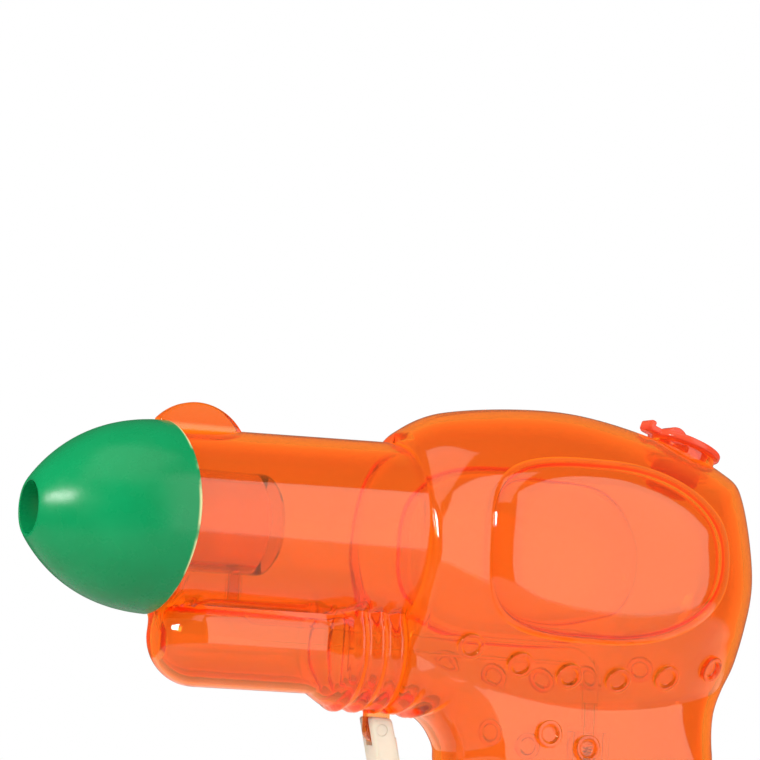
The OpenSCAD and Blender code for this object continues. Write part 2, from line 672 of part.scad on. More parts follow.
// Plunger: domed knob, rod and a grooved piston, at rest against the gland
knob_x = trigger_back_x + touch_gap;
piston_x = bore_x + gland_len + touch_gap;
groove_r = bore_r - fit - seal_d * 0.8;
seal_x = piston_x + piston_len / 2;
module plunger() {
    dome = 2.2 * knob_r;
    color([0.93, 0.87, 0.74]) difference() {
        union() {
            along_x(knob_x, pump_z) intersection() {
                cylinder(r = knob_r, h = knob_len);
                translate([0, 0, dome]) sphere(dome);
            }
            along_x(knob_x + knob_len / 2, pump_z) cylinder(r = rod_r, h = piston_x - knob_x);
            along_x(piston_x, pump_z) cylinder(r = bore_r - fit, h = piston_len);
        }
        along_x(seal_x - seal_d / 2, pump_z) difference() {
            cylinder(r = bore_r + 1, h = seal_d);
            translate([0, 0, -1]) cylinder(r = groove_r, h = seal_d + 2);
        }
    }
}

module plunger_seal() {
    color([0.12, 0.12, 0.12]) along_x(seal_x - seal_d / 2 + slip, pump_z) rotate_extrude()
        translate([groove_r + slip, 0]) square([bore_r - groove_r - 2 * slip, seal_d - 2 * slip]);
}

// A wound spring along Z: one unbroken tube with straight ends, as rings of six sides along the turns
curl_rings = 8;
sides = 6;
function coil_path(r, wire, turns, h) =
    let (n = turns * curl_rings)
    [[r, 0, 0],
     for (k = [0 : n])
         let (a = 360 * k / curl_rings) [r * cos(a), r * sin(a), wire + (h - 2 * wire) * k / n],
     [r, 0, h]];
function coil_gap(p, wire) =
    let (near = [for (i = [0 : len(p) - 1], j = [i + curl_rings - 2 : i + curl_rings + 2])
        if (j < len(p)) norm(p[i] - p[j])])
    min(near) - wire;
function ring_at(p, i, wire) =
    let (d = p[min(i + 1, len(p) - 1)] - p[max(i - 1, 0)])
    let (t = i == 0 || i == len(p) - 1 ? [0, 0, 1] : d / norm(d))
    let (a = [p[i][0], p[i][1], 0] / norm([p[i][0], p[i][1]]), q = a - t * (a * t))
    let (m = q / norm(q), b = cross(t, m))
    [for (k = [0 : sides - 1]) p[i] + wire / 2 * (m * cos(360 * k / sides) + b * sin(360 * k / sides))];
module coil(r, wire, turns, h) {
    p = coil_path(r, wire, turns, h);
    last = len(p) - 1;
    function at(i, k) = i * sides + k % sides;
    skin = [for (i = [0 : last - 1], k = [0 : sides - 1])
        each [[at(i, k), at(i + 1, k), at(i + 1, k + 1)], [at(i, k), at(i + 1, k + 1), at(i, k + 1)]]];
    ends = [for (k = [1 : sides - 2])
        each [[at(0, 0), at(0, k), at(0, k + 1)], [at(last, 0), at(last, k + 1), at(last, k)]]];
    polyhedron([for (i = [0 : last]) each ring_at(p, i, wire)], concat(skin, ends));
}

spring_x = piston_x + piston_len + slip;
spring_h = bore_end_x - slip - spring_x;
module return_spring() {
    color([0.75, 0.75, 0.77]) along_x(spring_x, pump_z) coil(spring_r, spring_wire, spring_turns, spring_h);
}
return_path = coil_path(spring_r, spring_wire, spring_turns, spring_h);
echo(return_spring_gap = coil_gap(return_path, spring_wire));

// Valves: each ball rests on the edge of a round hole, a hair above it
lift = 0.05;
inlet_seat_z = inlet_foot + plug_in;
inlet_ball_z = inlet_seat_z + circ(ball_r, seat_r) + lift;
outlet_ball_z = outlet_floor + circ(ball_r, seat_r + 0.1) + lift;
module fitting() {
    difference() {
        union() {
            cylinder(r = chamber_r - fit, h = plug_in);
            translate([0, 0, -fitting_flange]) cylinder(r = valve_r, h = fitting_flange);
            translate([0, 0, -fitting_flange - barb_len]) cylinder(r = barb_r, h = barb_len);
        }
        translate([0, 0, -fitting_flange - barb_len - 1])
            cylinder(r = seat_r, h = plug_in + fitting_flange + barb_len + 2);
    }
}

module inlet_fitting() {
    color([0.93, 0.87, 0.74]) translate([valve_x, 0, inlet_foot]) fitting();
}

module outlet_fitting() {
    color([0.93, 0.87, 0.74]) translate([valve_x, 0, outlet_top]) mirror([0, 0, 1]) fitting();
}

module inlet_ball() {
    color([0.75, 0.75, 0.77]) translate([valve_x, 0, inlet_ball_z]) sphere(ball_r);
}

module outlet_ball() {
    color([0.75, 0.75, 0.77]) translate([valve_x, 0, outlet_ball_z]) sphere(ball_r);
}

valve_coil_r = 1.25;
valve_spring_z = outlet_ball_z + circ(ball_r, valve_coil_r - valve_wire / 2) + 0.1;
valve_spring_h = outlet_top - plug_in - slip - valve_spring_z;
module outlet_spring() {
    color([0.75, 0.75, 0.77]) translate([valve_x, 0, valve_spring_z])
        coil(valve_coil_r, valve_wire, valve_turns, valve_spring_h);
}
outlet_path = coil_path(valve_coil_r, valve_wire, valve_turns, valve_spring_h);
echo(outlet_spring_gap = coil_gap(outlet_path, valve_wire));

// Soft tubes slide over the barbs
hose_bore = barb_r + slip;
module hose(h) {
    difference() {
        cylinder(r = hose_r, h = h);
        translate([0, 0, -1]) cylinder(r = hose_bore, h = h + 2);
    }
}

module hose_corner() {
    rotate([90, 0, 0]) rotate_extrude(angle = 90) translate([hose_bend, 0]) difference() {
        circle(hose_r);
        circle(hose_bore);
    }
}

module dip_tube() {
    top = inlet_foot - fitting_flange - slip;
    foot = foot_z + shell_wall + dip_gap;
    color([0.9, 0.95, 0.95, 0.5]) translate([valve_x, 0, foot]) hose(top - foot);
}

module delivery_tube() {
    run_z = barrel_axis_z - hose_drop;
    foot = outlet_top + fitting_flange + slip;
    top = barrel_axis_z - sleeve_r - 0.4;
    color([0.9, 0.95, 0.95, 0.5]) union() {
        translate([valve_x, 0, foot]) hose(run_z - hose_bend - foot);
        translate([valve_x - hose_bend, 0, run_z - hose_bend]) hose_corner();
        along_x(port_x + hose_bend, run_z) hose(valve_x - port_x - 2 * hose_bend);
        translate([port_x + hose_bend, 0, run_z + hose_bend]) rotate([0, 180, 0]) hose_corner();
        translate([port_x, 0, run_z + hose_bend]) hose(top - run_z - hose_bend);
    }
}

// Filler plug: flange over the ring, stem in the hole and a humped pull tab to the front
module filler_plug() {
    seat = filler_rise + touch_gap;
    chamfer = 1.2;
    hump_r = 0.36 * cap_r;
    stem_r = filler_r - plug_clear;
    color([0.85, 0.05, 0.04, 0.85]) deck_frame() union() {
        translate([0, 0, seat]) cylinder(r = cap_r, h = cap_t);
        translate([0, 0, seat + cap_t - slip])
            cylinder(r1 = cap_r - chamfer, r2 = cap_r - 2 * chamfer, h = 0.6);
        translate([0, 0, seat - stem_len + chamfer]) cylinder(r = stem_r, h = stem_len - chamfer + slip);
        translate([0, 0, seat - stem_len]) cylinder(r1 = stem_r - chamfer, r2 = stem_r, h = chamfer);
        translate([-cap_r - tab_reach, -tab_w / 2, seat]) cube([cap_r + tab_reach, tab_w, cap_t]);
        translate([-cap_r - tab_reach, -tab_w / 2, seat]) cube([cap_t, tab_w, cap_t + 0.9]);
        intersection() {
            translate([-0.42 * cap_r, 0, seat + cap_t - hump_r / 3]) rotate([90, 0, 0])
                cylinder(r = hump_r, h = tab_w, center = true);
            translate([-cap_r, -tab_w, seat]) cube([cap_r, 2 * tab_w, 2 * hump_r]);
        }
    }
}

left_shell();
right_shell();
nose_cone();
nozzle_sleeve();
sleeve_seal();
jet_tip();
delivery_tube();
outlet_fitting();
outlet_spring();
outlet_ball();
pump_cylinder();
pump_gland();
plunger();
plunger_seal();
return_spring();
inlet_fitting();
inlet_ball();
dip_tube();
trigger();
trigger_pin();
filler_plug();
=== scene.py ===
import bpy
import bmesh
import math
import numpy as np
from mathutils import Matrix
from numpy import array, cos, linspace, pi, sin, vstack, where


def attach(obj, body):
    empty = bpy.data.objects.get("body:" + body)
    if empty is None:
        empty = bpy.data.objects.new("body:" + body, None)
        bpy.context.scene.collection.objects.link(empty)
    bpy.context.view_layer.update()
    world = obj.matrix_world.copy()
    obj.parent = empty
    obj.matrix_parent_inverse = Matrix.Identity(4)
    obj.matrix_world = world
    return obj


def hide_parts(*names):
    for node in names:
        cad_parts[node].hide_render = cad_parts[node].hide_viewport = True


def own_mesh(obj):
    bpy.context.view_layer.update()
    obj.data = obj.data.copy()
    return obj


# Water squirter: clear moulded halves, a satin nose cone, a trigger pump and a filler plug.
# Sizes below are in millimetres in the frame's axes: muzzle to -X, up +Z, seam on Y = 0.

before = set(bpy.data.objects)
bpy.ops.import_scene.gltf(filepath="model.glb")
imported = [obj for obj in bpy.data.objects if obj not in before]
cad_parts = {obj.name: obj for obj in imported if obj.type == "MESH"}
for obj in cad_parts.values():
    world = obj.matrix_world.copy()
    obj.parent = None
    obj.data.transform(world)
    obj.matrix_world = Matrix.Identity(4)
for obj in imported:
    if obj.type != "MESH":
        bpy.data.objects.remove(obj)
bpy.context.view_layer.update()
scene = bpy.context.scene
mm = 0.001
slide, touch = 0.05, 0.02  # clearance of pieces that slide, and the gap between seated ones


class Values(dict):
    # a dictionary whose values are also read as attributes
    __getattr__ = dict.__getitem__


def columns(*parts):
    # numbers and arrays side by side along a new last axis
    return np.stack(np.broadcast_arrays(*parts), -1)


def unit(vectors):
    # each vector divided by its length
    return vectors / np.linalg.norm(vectors, axis=-1, keepdims=True)


def aim(thing, place, right, up, back):
    # a camera or lamp stands at a place in metres, with its own axes along three directions
    turn = Matrix(columns(right, up, back).tolist()).to_4x4()
    thing.matrix_world = Matrix.Translation(place.tolist()) @ turn
    scene.collection.objects.link(thing)


# camera: a long lens, turned towards the muzzle side, a little below the barrel and slightly rolled
cameraValues = Values(yaw=-25.4, rise=-5.43, roll=-3.01, focalPixels=3982.5, distance=832.96,
                target=(-55.68, 0.0, 94.3), sensor=36.0, pixels=760, clip=(0.01, 20))


def addCamera(v):
    # the view direction is (-sin a cos e, cos a cos e, -sin e); right and up are turned about it by the roll
    a, e, r = (math.radians(v[k]) for k in ("yaw", "rise", "roll"))
    ahead = array([-sin(a) * cos(e), cos(a) * cos(e), -sin(e)])
    right = array([cos(a), sin(a), 0.0])
    up = np.cross(right, ahead)
    side = right * cos(r) - up * sin(r)
    top = up * cos(r) + right * sin(r)
    data = bpy.data.cameras.new("photoCamera")
    data.sensor_fit, data.sensor_width = "HORIZONTAL", v.sensor
    data.lens = v.sensor * v.focalPixels / v.pixels
    data.clip_start, data.clip_end = v.clip
    camera = bpy.data.objects.new("photoCamera", data)
    aim(camera, (array(v.target) - ahead * v.distance) * mm, side, top, -ahead)
    scene.camera = camera


addCamera(cameraValues)


# meshes from arrays
def fullTurn(sides):
    # angles once round, without the last
    return linspace(0, 2 * pi, sides, endpoint=False)


def bulge(c, power):
    # a share from -1 to 1 raised to a power, with its sign kept
    return np.sign(c) * np.abs(c) ** power


def gridFaces(rows, cols, loopRows=False, loopCols=False, start=0):
    # four-sided faces between neighbouring places of a grid of vertex numbers
    index = start + np.arange(rows * cols).reshape(rows, cols)
    if loopRows:
        index = vstack([index, index[:1]])
    if loopCols:
        index = np.hstack([index, index[:, :1]])
    return columns(index[:-1, :-1], index[1:, :-1], index[1:, 1:], index[:-1, 1:]).reshape(-1, 4)


def tubeFaces(rows, cols):
    # a grid that closes round its columns, with one face over either end
    end = np.arange(cols)[None]
    return [gridFaces(rows, cols, False, True), end, end + (rows - 1) * cols]


def shade(mesh, sharp):
    # smooth shading, with edges over an angle in degrees kept sharp
    mesh.shade_smooth()
    mesh.set_sharp_from_angle(angle=math.radians(sharp))


def putMesh(name, points, faces, sharp=38):
    # points in millimetres and arrays of faces become an object in metres, with its faces outwards
    mesh = bpy.data.meshes.new(name)
    mesh.from_pydata((points * mm).tolist(), [], [f for part in faces for f in np.asarray(part).tolist()])
    work = bmesh.new()
    work.from_mesh(mesh)
    bmesh.ops.recalc_face_normals(work, faces=work.faces)
    work.to_mesh(mesh)
    work.free()
    shade(mesh, sharp)
    piece = bpy.data.objects.new(name, mesh)
    scene.collection.objects.link(piece)
    return piece


def eased(corners, steps=6):
    # each corner (x, y, radius) becomes a quadratic curve that starts and ends a radius away from it
    c = array(corners, float)
    p = c[:, :2]
    back, on = np.roll(p, 1, 0) - p, np.roll(p, -1, 0) - p
    lengths = columns(np.linalg.norm(back, axis=1), np.linalg.norm(on, axis=1))
    r = np.minimum(c[:, 2], 0.49 * lengths.min(1))
    a = p + back / lengths[:, :1] * r[:, None]
    b = p + on / lengths[:, 1:] * r[:, None]
    f = linspace(0, 1, steps)[None, :, None]
    q = ((1 - f) ** 2 * a[:, None] + 2 * f * (1 - f) * p[:, None] + f ** 2 * b[:, None]).reshape(-1, 2)
    return q[np.r_[True, np.linalg.norm(np.diff(q, axis=0), axis=1) > 1e-5]]


def revolve(profile, sides=96):
    # (radius, height) goes round as (r cos a, r sin a, h): a closed ring, or a solid with its ends on the axis
    a = fullTurn(sides)
    solid = abs(profile[0, 0]) < 1e-6
    ring = profile[1:-1] if solid else profile
    points = columns(ring[:, :1] * cos(a), ring[:, :1] * sin(a), ring[:, 1:]).reshape(-1, 3)
    faces = [gridFaces(len(ring), sides, not solid, True)]
    if solid:
        n, first = len(points), np.arange(sides)
        last = first + (len(ring) - 1) * sides
        faces += [columns(first, np.roll(first, -1), n), columns(np.roll(last, -1), last, n + 1)]
        points = vstack([points, [[0, 0, profile[0, 1]], [0, 0, profile[-1, 1]]]])
    return points, faces


def ringAround(rIn, rOut, low, high, soft=0.0):
    # a tube's wall between two radii and two levels, with a softened upper edge
    return revolve(eased([(rIn, low, 0), (rOut, low, 0), (rOut, high, soft), (rIn, high, 0)]))


def rod(r, low, high):
    # a plain cylinder between two levels
    return revolve(array([[0, low], [r, low], [r, high], [0, high]], float))


def sweep(path, across, section):
    # a section (u, w) is carried along a path: u along the path's side vector, w along tangent x side
    ahead = unit(np.gradient(path, axis=0))
    side = unit(across - ahead * (across * ahead).sum(1)[:, None])
    other = np.cross(ahead, side)
    points = path[:, None] + section[..., :1] * side[:, None] + section[..., 1:] * other[:, None]
    return points.reshape(-1, 3), tubeFaces(*points.shape[:2])


def roundedPlate(outline, near, far, edge, steps=6):
    # an outline (x, z) stands between two Y levels, and both edges roll over by insets r (1 - cos a)
    on = np.roll(outline, -1, 0) - np.roll(outline, 1, 0)
    out = unit(columns(on[:, 1], -on[:, 0]))
    swing = (np.roll(outline, -1, 0) * [1, -1] * outline[:, ::-1]).sum()
    out = out if swing < 0 else -out
    a = linspace(0, pi / 2, steps)
    inset, rise = edge * (1 - cos(a)), np.sign(far - near) * edge * (1 - sin(a))
    inset, level = np.r_[inset[::-1], inset], np.r_[(near + rise)[::-1], far - rise]
    flat = outline[None] - out[None] * inset[:, None, None]
    points = columns(flat[..., 0], level[:, None], flat[..., 1])
    return points.reshape(-1, 3), tubeFaces(*flat.shape[:2])


def alongX(made, x, z):
    # the axis of a revolved shape is laid along +X
    p, faces = made
    return columns(x + p[:, 2], p[:, 1], z - p[:, 0]), faces


def alongY(made, x, z):
    # the axis of a revolved shape is laid across the seam
    p, faces = made
    return columns(x + p[:, 0], p[:, 2], z + p[:, 1]), faces


def alongZ(made, x, z):
    # a revolved shape stands upright on the seam
    p, faces = made
    return p + array([x, 0, z]), faces


def combine(target, tool, how):
    # one solid is added to or cut from another, and the result is kept as a plain mesh
    step = target.modifiers.new("combine", "BOOLEAN")
    step.operation, step.solver, step.object = how, "MANIFOLD", tool
    shaped = bpy.data.meshes.new_from_object(target.evaluated_get(bpy.context.evaluated_depsgraph_get()))
    target.modifiers.clear()
    old, target.data = target.data, shaped
    bpy.data.meshes.remove(old)
    toolMesh = tool.data
    bpy.data.objects.remove(tool)
    bpy.data.meshes.remove(toolMesh)


def add(target, made):
    # (points, faces) joined to a piece
    combine(target, putMesh("part", *made), "UNION")


def cut(target, made):
    # (points, faces) taken out of a piece
    combine(target, putMesh("part", *made), "DIFFERENCE")


def finishMesh(piece, sharp=38, near=2e-6):
    # doubles left by joining are merged, folded and inner faces go, and edges over an angle stay sharp
    work = bmesh.new()
    work.from_mesh(piece.data)
    bmesh.ops.remove_doubles(work, verts=work.verts, dist=near)
    bmesh.ops.dissolve_degenerate(work, edges=work.edges, dist=near)
    bmesh.ops.triangulate(work, faces=work.faces)
    twins = {}
    for face in work.faces:
        twins.setdefault(frozenset(face.verts), []).append(face)
    strays = {face for group in twins.values() if len(group) > 1 for face in group}
    strays |= {face for face in work.faces if all(len(edge.link_faces) > 2 for edge in face.edges)}
    bmesh.ops.delete(work, geom=list(strays), context="FACES")
    work.to_mesh(piece.data)
    work.free()
    shade(piece.data, sharp)


def settle(piece, node, material, body="body"):
    # a finished piece rides on its body, stands for its node and takes its material
    piece.data.materials.clear()
    piece.data.materials.append(material)
    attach(piece, body)
    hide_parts(*([node] if isinstance(node, str) else node))


# materials
def link(value, socket):
    # one node's result feeds another's socket
    value.id_data.links.new(value, socket)


def setInputs(node, values):
    # each named socket takes its constant
    for name, value in values.items():
        node.inputs[name].default_value = value


def newNode(tree, kind, values=None):
    # a node of one kind with its constants
    node = tree.nodes.new("ShaderNode" + kind)
    setInputs(node, values or {})
    return node


def newMaterial(name, values):
    # a material, its node tree and its shader, with constants on the shader
    material = bpy.data.materials.new(name)
    material.use_nodes = True
    shader = material.node_tree.nodes["Principled BSDF"]
    setInputs(shader, values)
    return material, material.node_tree, shader


def arithmetic(tree, operation, a, b):
    # two values through one arithmetic node
    node = newNode(tree, "Math")
    node.operation = operation
    link(a, node.inputs[0])
    link(b, node.inputs[1])
    return node.outputs[0]


def placeParts(tree, space):
    # the X, Y and Z of a place in one space
    place, parts = newNode(tree, "TexCoord"), newNode(tree, "SeparateXYZ")
    link(place.outputs[space], parts.inputs["Vector"])
    return parts.outputs


def grain(tree, scale, detail=3.0, stretch=(1, 1, 1), rough=0.5):
    # a noise on Object coordinates, stretched along the axes
    place, lay = newNode(tree, "TexCoord"), newNode(tree, "Mapping", {"Scale": stretch})
    spots = newNode(tree, "TexNoise", {"Scale": scale, "Detail": detail, "Roughness": rough})
    link(place.outputs["Object"], lay.inputs["Vector"])
    link(lay.outputs["Vector"], spots.inputs["Vector"])
    return spots.outputs["Fac"]


def spread(tree, value, low, high, fromLow=0.3, fromHigh=0.7):
    # a value is mapped from one span to another
    span = newNode(tree, "MapRange", {"From Min": fromLow, "From Max": fromHigh, "To Min": low, "To Max": high})
    link(value, span.inputs["Value"])
    return span.outputs["Result"]


def tint(tree, value, stops):
    # a colour ramp over a value
    ramp = newNode(tree, "ValToRGB")
    parts = ramp.color_ramp.elements
    while len(parts) < len(stops):
        parts.new(0.5)
    for part, (at, colour) in zip(parts, stops):
        part.position, part.color = at, (*colour, 1)
    link(value, ramp.inputs["Fac"])
    return ramp.outputs["Color"]


def relief(tree, shader, layers):
    # bumps of (noise scale, detail, stretch, strength, depth) are stacked and drive the shader's normal
    last = None
    for scale, detail, stretch, strength, depth in layers:
        bump = newNode(tree, "Bump", {"Strength": strength, "Distance": depth})
        link(grain(tree, scale, detail, stretch), bump.inputs["Height"])
        if last:
            link(last, bump.inputs["Normal"])
        last = bump.outputs["Normal"]
    link(last, shader.inputs["Normal"])


even = (1, 1, 1)


def clearPlastic(name, colour, depthColour, density, rough, index, clear=1.0, coat=0.0, paintedGlow=None):
    # clear moulded plastic: tinted at its surface and through its depth, with slow waves, fine rubbed marks and a
    # glossy skin, and a painted glow: emitted light that grows where the surface is seen edge-on
    material, tree, shader = newMaterial(name, {
        "Base Color": (*colour, 1), "Transmission Weight": clear, "IOR": index,
        "Coat Weight": coat, "Coat Roughness": 0.06})
    rubbed = grain(tree, 90, 5, (1, 1, 2.5), 0.6)
    link(spread(tree, rubbed, *rough, 0.42, 0.78), shader.inputs["Roughness"])
    relief(tree, shader, [(55, 1.5, even, 0.35, 0.00035), (900, 3, (0.4, 1, 1), 0.06, 0.00004)])
    # painted glow: the plastic gives out coloured light of its own where the surface is seen edge-on, though it
    # is no lamp
    if paintedGlow:
        facing = newNode(tree, "LayerWeight", {"Blend": 0.5})
        setInputs(shader, {"Emission Color": (*paintedGlow.colour, 1)})
        lit = spread(tree, facing.outputs["Facing"], 0.0, paintedGlow.strength, *paintedGlow.span)
        link(lit, shader.inputs["Emission Strength"])
    depth = newNode(tree, "VolumeAbsorption", {"Color": (*depthColour, 1), "Density": density})
    link(depth.outputs["Volume"], tree.nodes["Material Output"].inputs["Volume"])
    return material


def satinPlastic(name, stops, rough, bumps, cloudScale, shine=0.5, soft=0.0):
    # moulded plastic with cloudy colour, fine texture and uneven shine
    material, tree, shader = newMaterial(name, {
        "Subsurface Weight": soft, "Subsurface Radius": (0.002, 0.001, 0.0006), "Subsurface Scale": 1.0,
        "Specular IOR Level": shine})
    cloud = grain(tree, cloudScale, 6, even, 0.62)
    link(tint(tree, cloud, stops), shader.inputs["Base Color"])
    link(spread(tree, grain(tree, 160, 5, even, 0.65), *rough), shader.inputs["Roughness"])
    relief(tree, shader, bumps)
    return material


# the last values set the shell's painted edge glow: its colour, strength and span of facing
orangeClear = clearPlastic(
    "orangeClearPlastic", (0.955, 0.44, 0.10), (1, 0.62, 0.0), 330, (0.05, 0.13), 1.26, 0.95, 0.8,
    Values(colour=(1.0, 0.26, 0.002), strength=0.45, span=(0.40, 0.90)))
sleeveClear = clearPlastic(
    "orangeSleevePlastic", (0.99, 0.80, 0.62), (1, 0.93, 0.3), 120, (0.03, 0.12), 1.2, 0.96, 0.3)
# the last values set the plug's painted edge glow: its colour, strength and span of facing
redClear = clearPlastic(
    "redSoftPlastic", (0.98, 0.16, 0.07), (1, 0.55, 0.40), 200, (0.08, 0.2), 1.3, 0.5, 0.3,
    Values(colour=(1.0, 0.09, 0.02), strength=0.35, span=(0.4, 1.0)))
hoseClear = clearPlastic("clearHose", (0.99, 0.985, 0.97), (0.97, 0.98, 0.96), 20, (0.03, 0.10), 1.03)
milkyPlastic = clearPlastic("milkyPlastic", (0.97, 0.95, 0.90), (0.97, 0.95, 0.90), 40, (0.10, 0.22), 1.1)
greenSatin = satinPlastic(
    "greenSatinPlastic",
    [(0.25, (0.002, 0.262, 0.079)), (0.55, (0.002, 0.300, 0.097)), (0.85, (0.004, 0.332, 0.112))],
    (0.21, 0.35), [(70, 2, even, 0.2, 0.0003), (1500, 3, even, 0.1, 0.00005)], 60, 0.28)
ivorySmooth = satinPlastic(
    "ivorySmoothPlastic",
    [(0.2, (0.86, 0.76, 0.60)), (0.6, (0.90, 0.82, 0.67)), (0.9, (0.92, 0.85, 0.72))],
    (0.26, 0.42), [(90, 2, even, 0.2, 0.0003), (1200, 3, (1, 1, 0.3), 0.10, 0.00005)], 70, 0.5, 0.25)
sealRubber = satinPlastic(
    "blackSealRubber", [(0.2, (0.010, 0.010, 0.011)), (0.8, (0.030, 0.029, 0.028))],
    (0.50, 0.72), [(900, 4, even, 0.3, 0.00006)], 200)


def wireMaterial():
    # drawn spring wire: fine marks along the wire and slightly dulled patches
    material, tree, shader = newMaterial("brightWire", {"Metallic": 1.0})
    colour = tint(tree, grain(tree, 300, 4), [(0.3, (0.52, 0.51, 0.50)), (0.7, (0.70, 0.69, 0.68))])
    link(colour, shader.inputs["Base Color"])
    link(spread(tree, grain(tree, 500, 4), 0.16, 0.36), shader.inputs["Roughness"])
    relief(tree, shader, [(2500, 2, even, 0.1, 0.00003)])
    return material


def addRimLine(material, v):
    # a pale uneven line of moulding flash along the rim, where the mesh's own value marks it
    tree = material.node_tree
    base = tree.nodes["Principled BSDF"].inputs["Base Color"]
    near = newNode(tree, "Attribute")
    near.attribute_name = "rimLine"
    patches = spread(tree, grain(tree, v.scale, 4), 0.0, 1.0, *v.patches)
    over = newNode(tree, "MixRGB", {"Color2": (*v.colour, 1)})
    link(arithmetic(tree, "MULTIPLY", near.outputs["Fac"], patches), over.inputs["Fac"])
    link(base.links[0].from_socket, over.inputs["Color1"])
    link(over.outputs["Color"], base)


def dullSight(material, v):
    # above a level and ahead of a place, where the sight stands, the gloss fades out and the colour deepens
    tree = material.node_tree
    inputs = tree.nodes["Principled BSDF"].inputs
    coat, base = inputs["Coat Weight"], inputs["Base Color"]
    place = placeParts(tree, "Object")
    high = spread(tree, place["Z"], 0.0, 1.0, v.level - v.soft, v.level)
    front = spread(tree, place["X"], 1.0, 0.0, v.behind - v.soft, v.behind)
    share = arithmetic(tree, "MULTIPLY", high, front)
    link(spread(tree, share, coat.default_value, 0.0, 0.0, 1.0), coat)
    link(tint(tree, share, [(0.0, base.default_value[:3]), (1.0, v.colour)]), base)


brightWire = wireMaterial()
addRimLine(greenSatin, Values(scale=160, patches=(0.42, 0.56), colour=(0.80, 0.84, 0.42)))
dullSight(orangeClear, Values(level=0.0818, behind=-0.066, soft=0.0008, colour=(0.955, 0.24, 0.03)))
print("materials ready")


# shell: the two glued halves as one clear piece, from the solids' outlines and widths on a finer grid
shell = Values(
    barrelFrontR=18.5, barrelR=19.4, barrelLen=54.0, axisZ=62.0, junctionX=-51.6, wall=2.0,
    tubeR=10.0, tubeDrop=23.9, tubeSetback=1.4, webHalf=2.5, webTaper=0.6, webFrom=0.9, blend=8,
    collarR=13.4, collarLen=13.0, collarRamp=3.6, ribs=3, ribDepth=1.2, ripples=2,
    bodyW=45.0, bodyRound=29.0, lipR=1.4, lipH=2.0,
    crownRun=38.0, crownH=29.0, crownMid=(0.3, 0.77),
    deckRun=68.9, deckH=22.3, deckTilt=20.0, deckLen=16.0,
    rearRun=85.0, rearDrop=4.0, rearMid=(0.6, 0.24),
    heelRun=77.8, heelDrop=34.0, heelMid=(0.3, 0.56), gripMid=((0.06, 0.31), (0.5, 0.67)),
    ridgeDrop=33.6, ridgeRun=43.0, ridgeArcR=95.0, ridgeRound=24.0,
    podLen=58.0, podH=38.8, podRun=41.3, podDrop=1.1, podRise=3.0, podRound=4.6,
    podFront=3.4, podRear=2.2, podSink=0.03, podFoot=(1.2, 1.5), podCore=0.02, podEase=1.9, podGrid=(22, 144),
    gripW=27.0, gripDrop=88.0, footFront=38.6, footRear=88.4, strapRun=14.8, strapDrop=44.0,
    strapMid=((0.02, 0.075), (0.165, 0.23), (0.55, 0.61), (1, 1)), cornerRun=0.78, cornerLift=0.8,
    roundFrom=6.5, roundRows=2, gripRound=11.0, gripPower=2.3, footRound=2.2, seam=0.004, groove=0.12,
    sightH=5.4, sightR=11.4, sightT=3.4, sightSetback=8.8, sightEdge=0.7, sightLean=0.5,
    sightTop=0.75, sightGap=0.3,
    studR=2.9, studRise=1.0, studDish=0.1, studLift=6.1, studFirst=11.6, studStep=11.6,
    studs=6, studRing=(0.68, 0.58), studRoot=0.8, gripStuds=((32.6, -39.5), (41.8, -42.1)),
    spigotLen=6.4, spigotR=14.5, spigotWall=2.0, sleeveHole=10.55,
    fillerR=5.6, fillerWall=1.8, fillerRise=1.0,
    pumpRun=19.7, pumpDrop=15.0, pumpR=6.5, bossWall=2.1, bossLen=11.0,
    pivotDrop=40.6, pivotLead=0.9, pinR=1.25, earR=2.7, lugT=2.4, lugGap=0.1, lugEdge=0.2,
    outerSides=88, innerSides=40, lipRows=0.8, lipEase=1.4, footRows=0.4)
s = shell
junctionX, axisZ = s.junctionX, s.axisZ
muzzleX = junctionX - s.barrelLen
tipX = muzzleX + s.tubeSetback
tubeMidX = tipX + s.tubeR
collarX = junctionX - s.collarLen
tubeZ = axisZ - s.tubeDrop
footZ = axisZ - s.gripDrop
deckX, deckZ = junctionX + s.deckRun, axisZ + s.deckH
pivotX, pivotZ = junctionX - s.pivotLead, axisZ - s.pivotDrop
pumpX, pumpZ = junctionX + s.pumpRun, pivotZ - s.pumpDrop


def circ(r, d):
    # half the chord of a circle at a distance d from its middle
    return np.sqrt(np.maximum(0, r * r - d * d))


def edge(t, n):
    # a rounded rise from 0 to 1: (1 - (1 - t)^n)^(1/n)
    return (1 - (1 - np.clip(t, 0, 1)) ** n) ** (1 / n)


def swell(t):
    # a quarter of a sine from 0 to 1
    return sin(pi / 2 * np.clip(t, 0, 1))


def mix(a, b, t):
    # from a to b by a share held between 0 and 1
    return a + (b - a) * np.clip(t, 0, 1)


def along(a, b, shares):
    # from point a towards point b by a share for each axis
    return a + (b - a) * array(shares)


def curveAt(rows, t):
    # Catmull and Rom's cubic through rows of values
    n = len(rows) - 1
    i = np.clip(np.floor(t).astype(int), 0, n - 1)
    f = (t - i)[:, None]
    a, b, c, d = rows[np.maximum(i - 1, 0)], rows[i], rows[i + 1], rows[np.minimum(i + 2, n)]
    return 0.5 * (2 * b + (c - a) * f + (2 * a - 5 * b + 4 * c - d) * f ** 2 + (3 * b - a - 3 * c + d) * f ** 3)


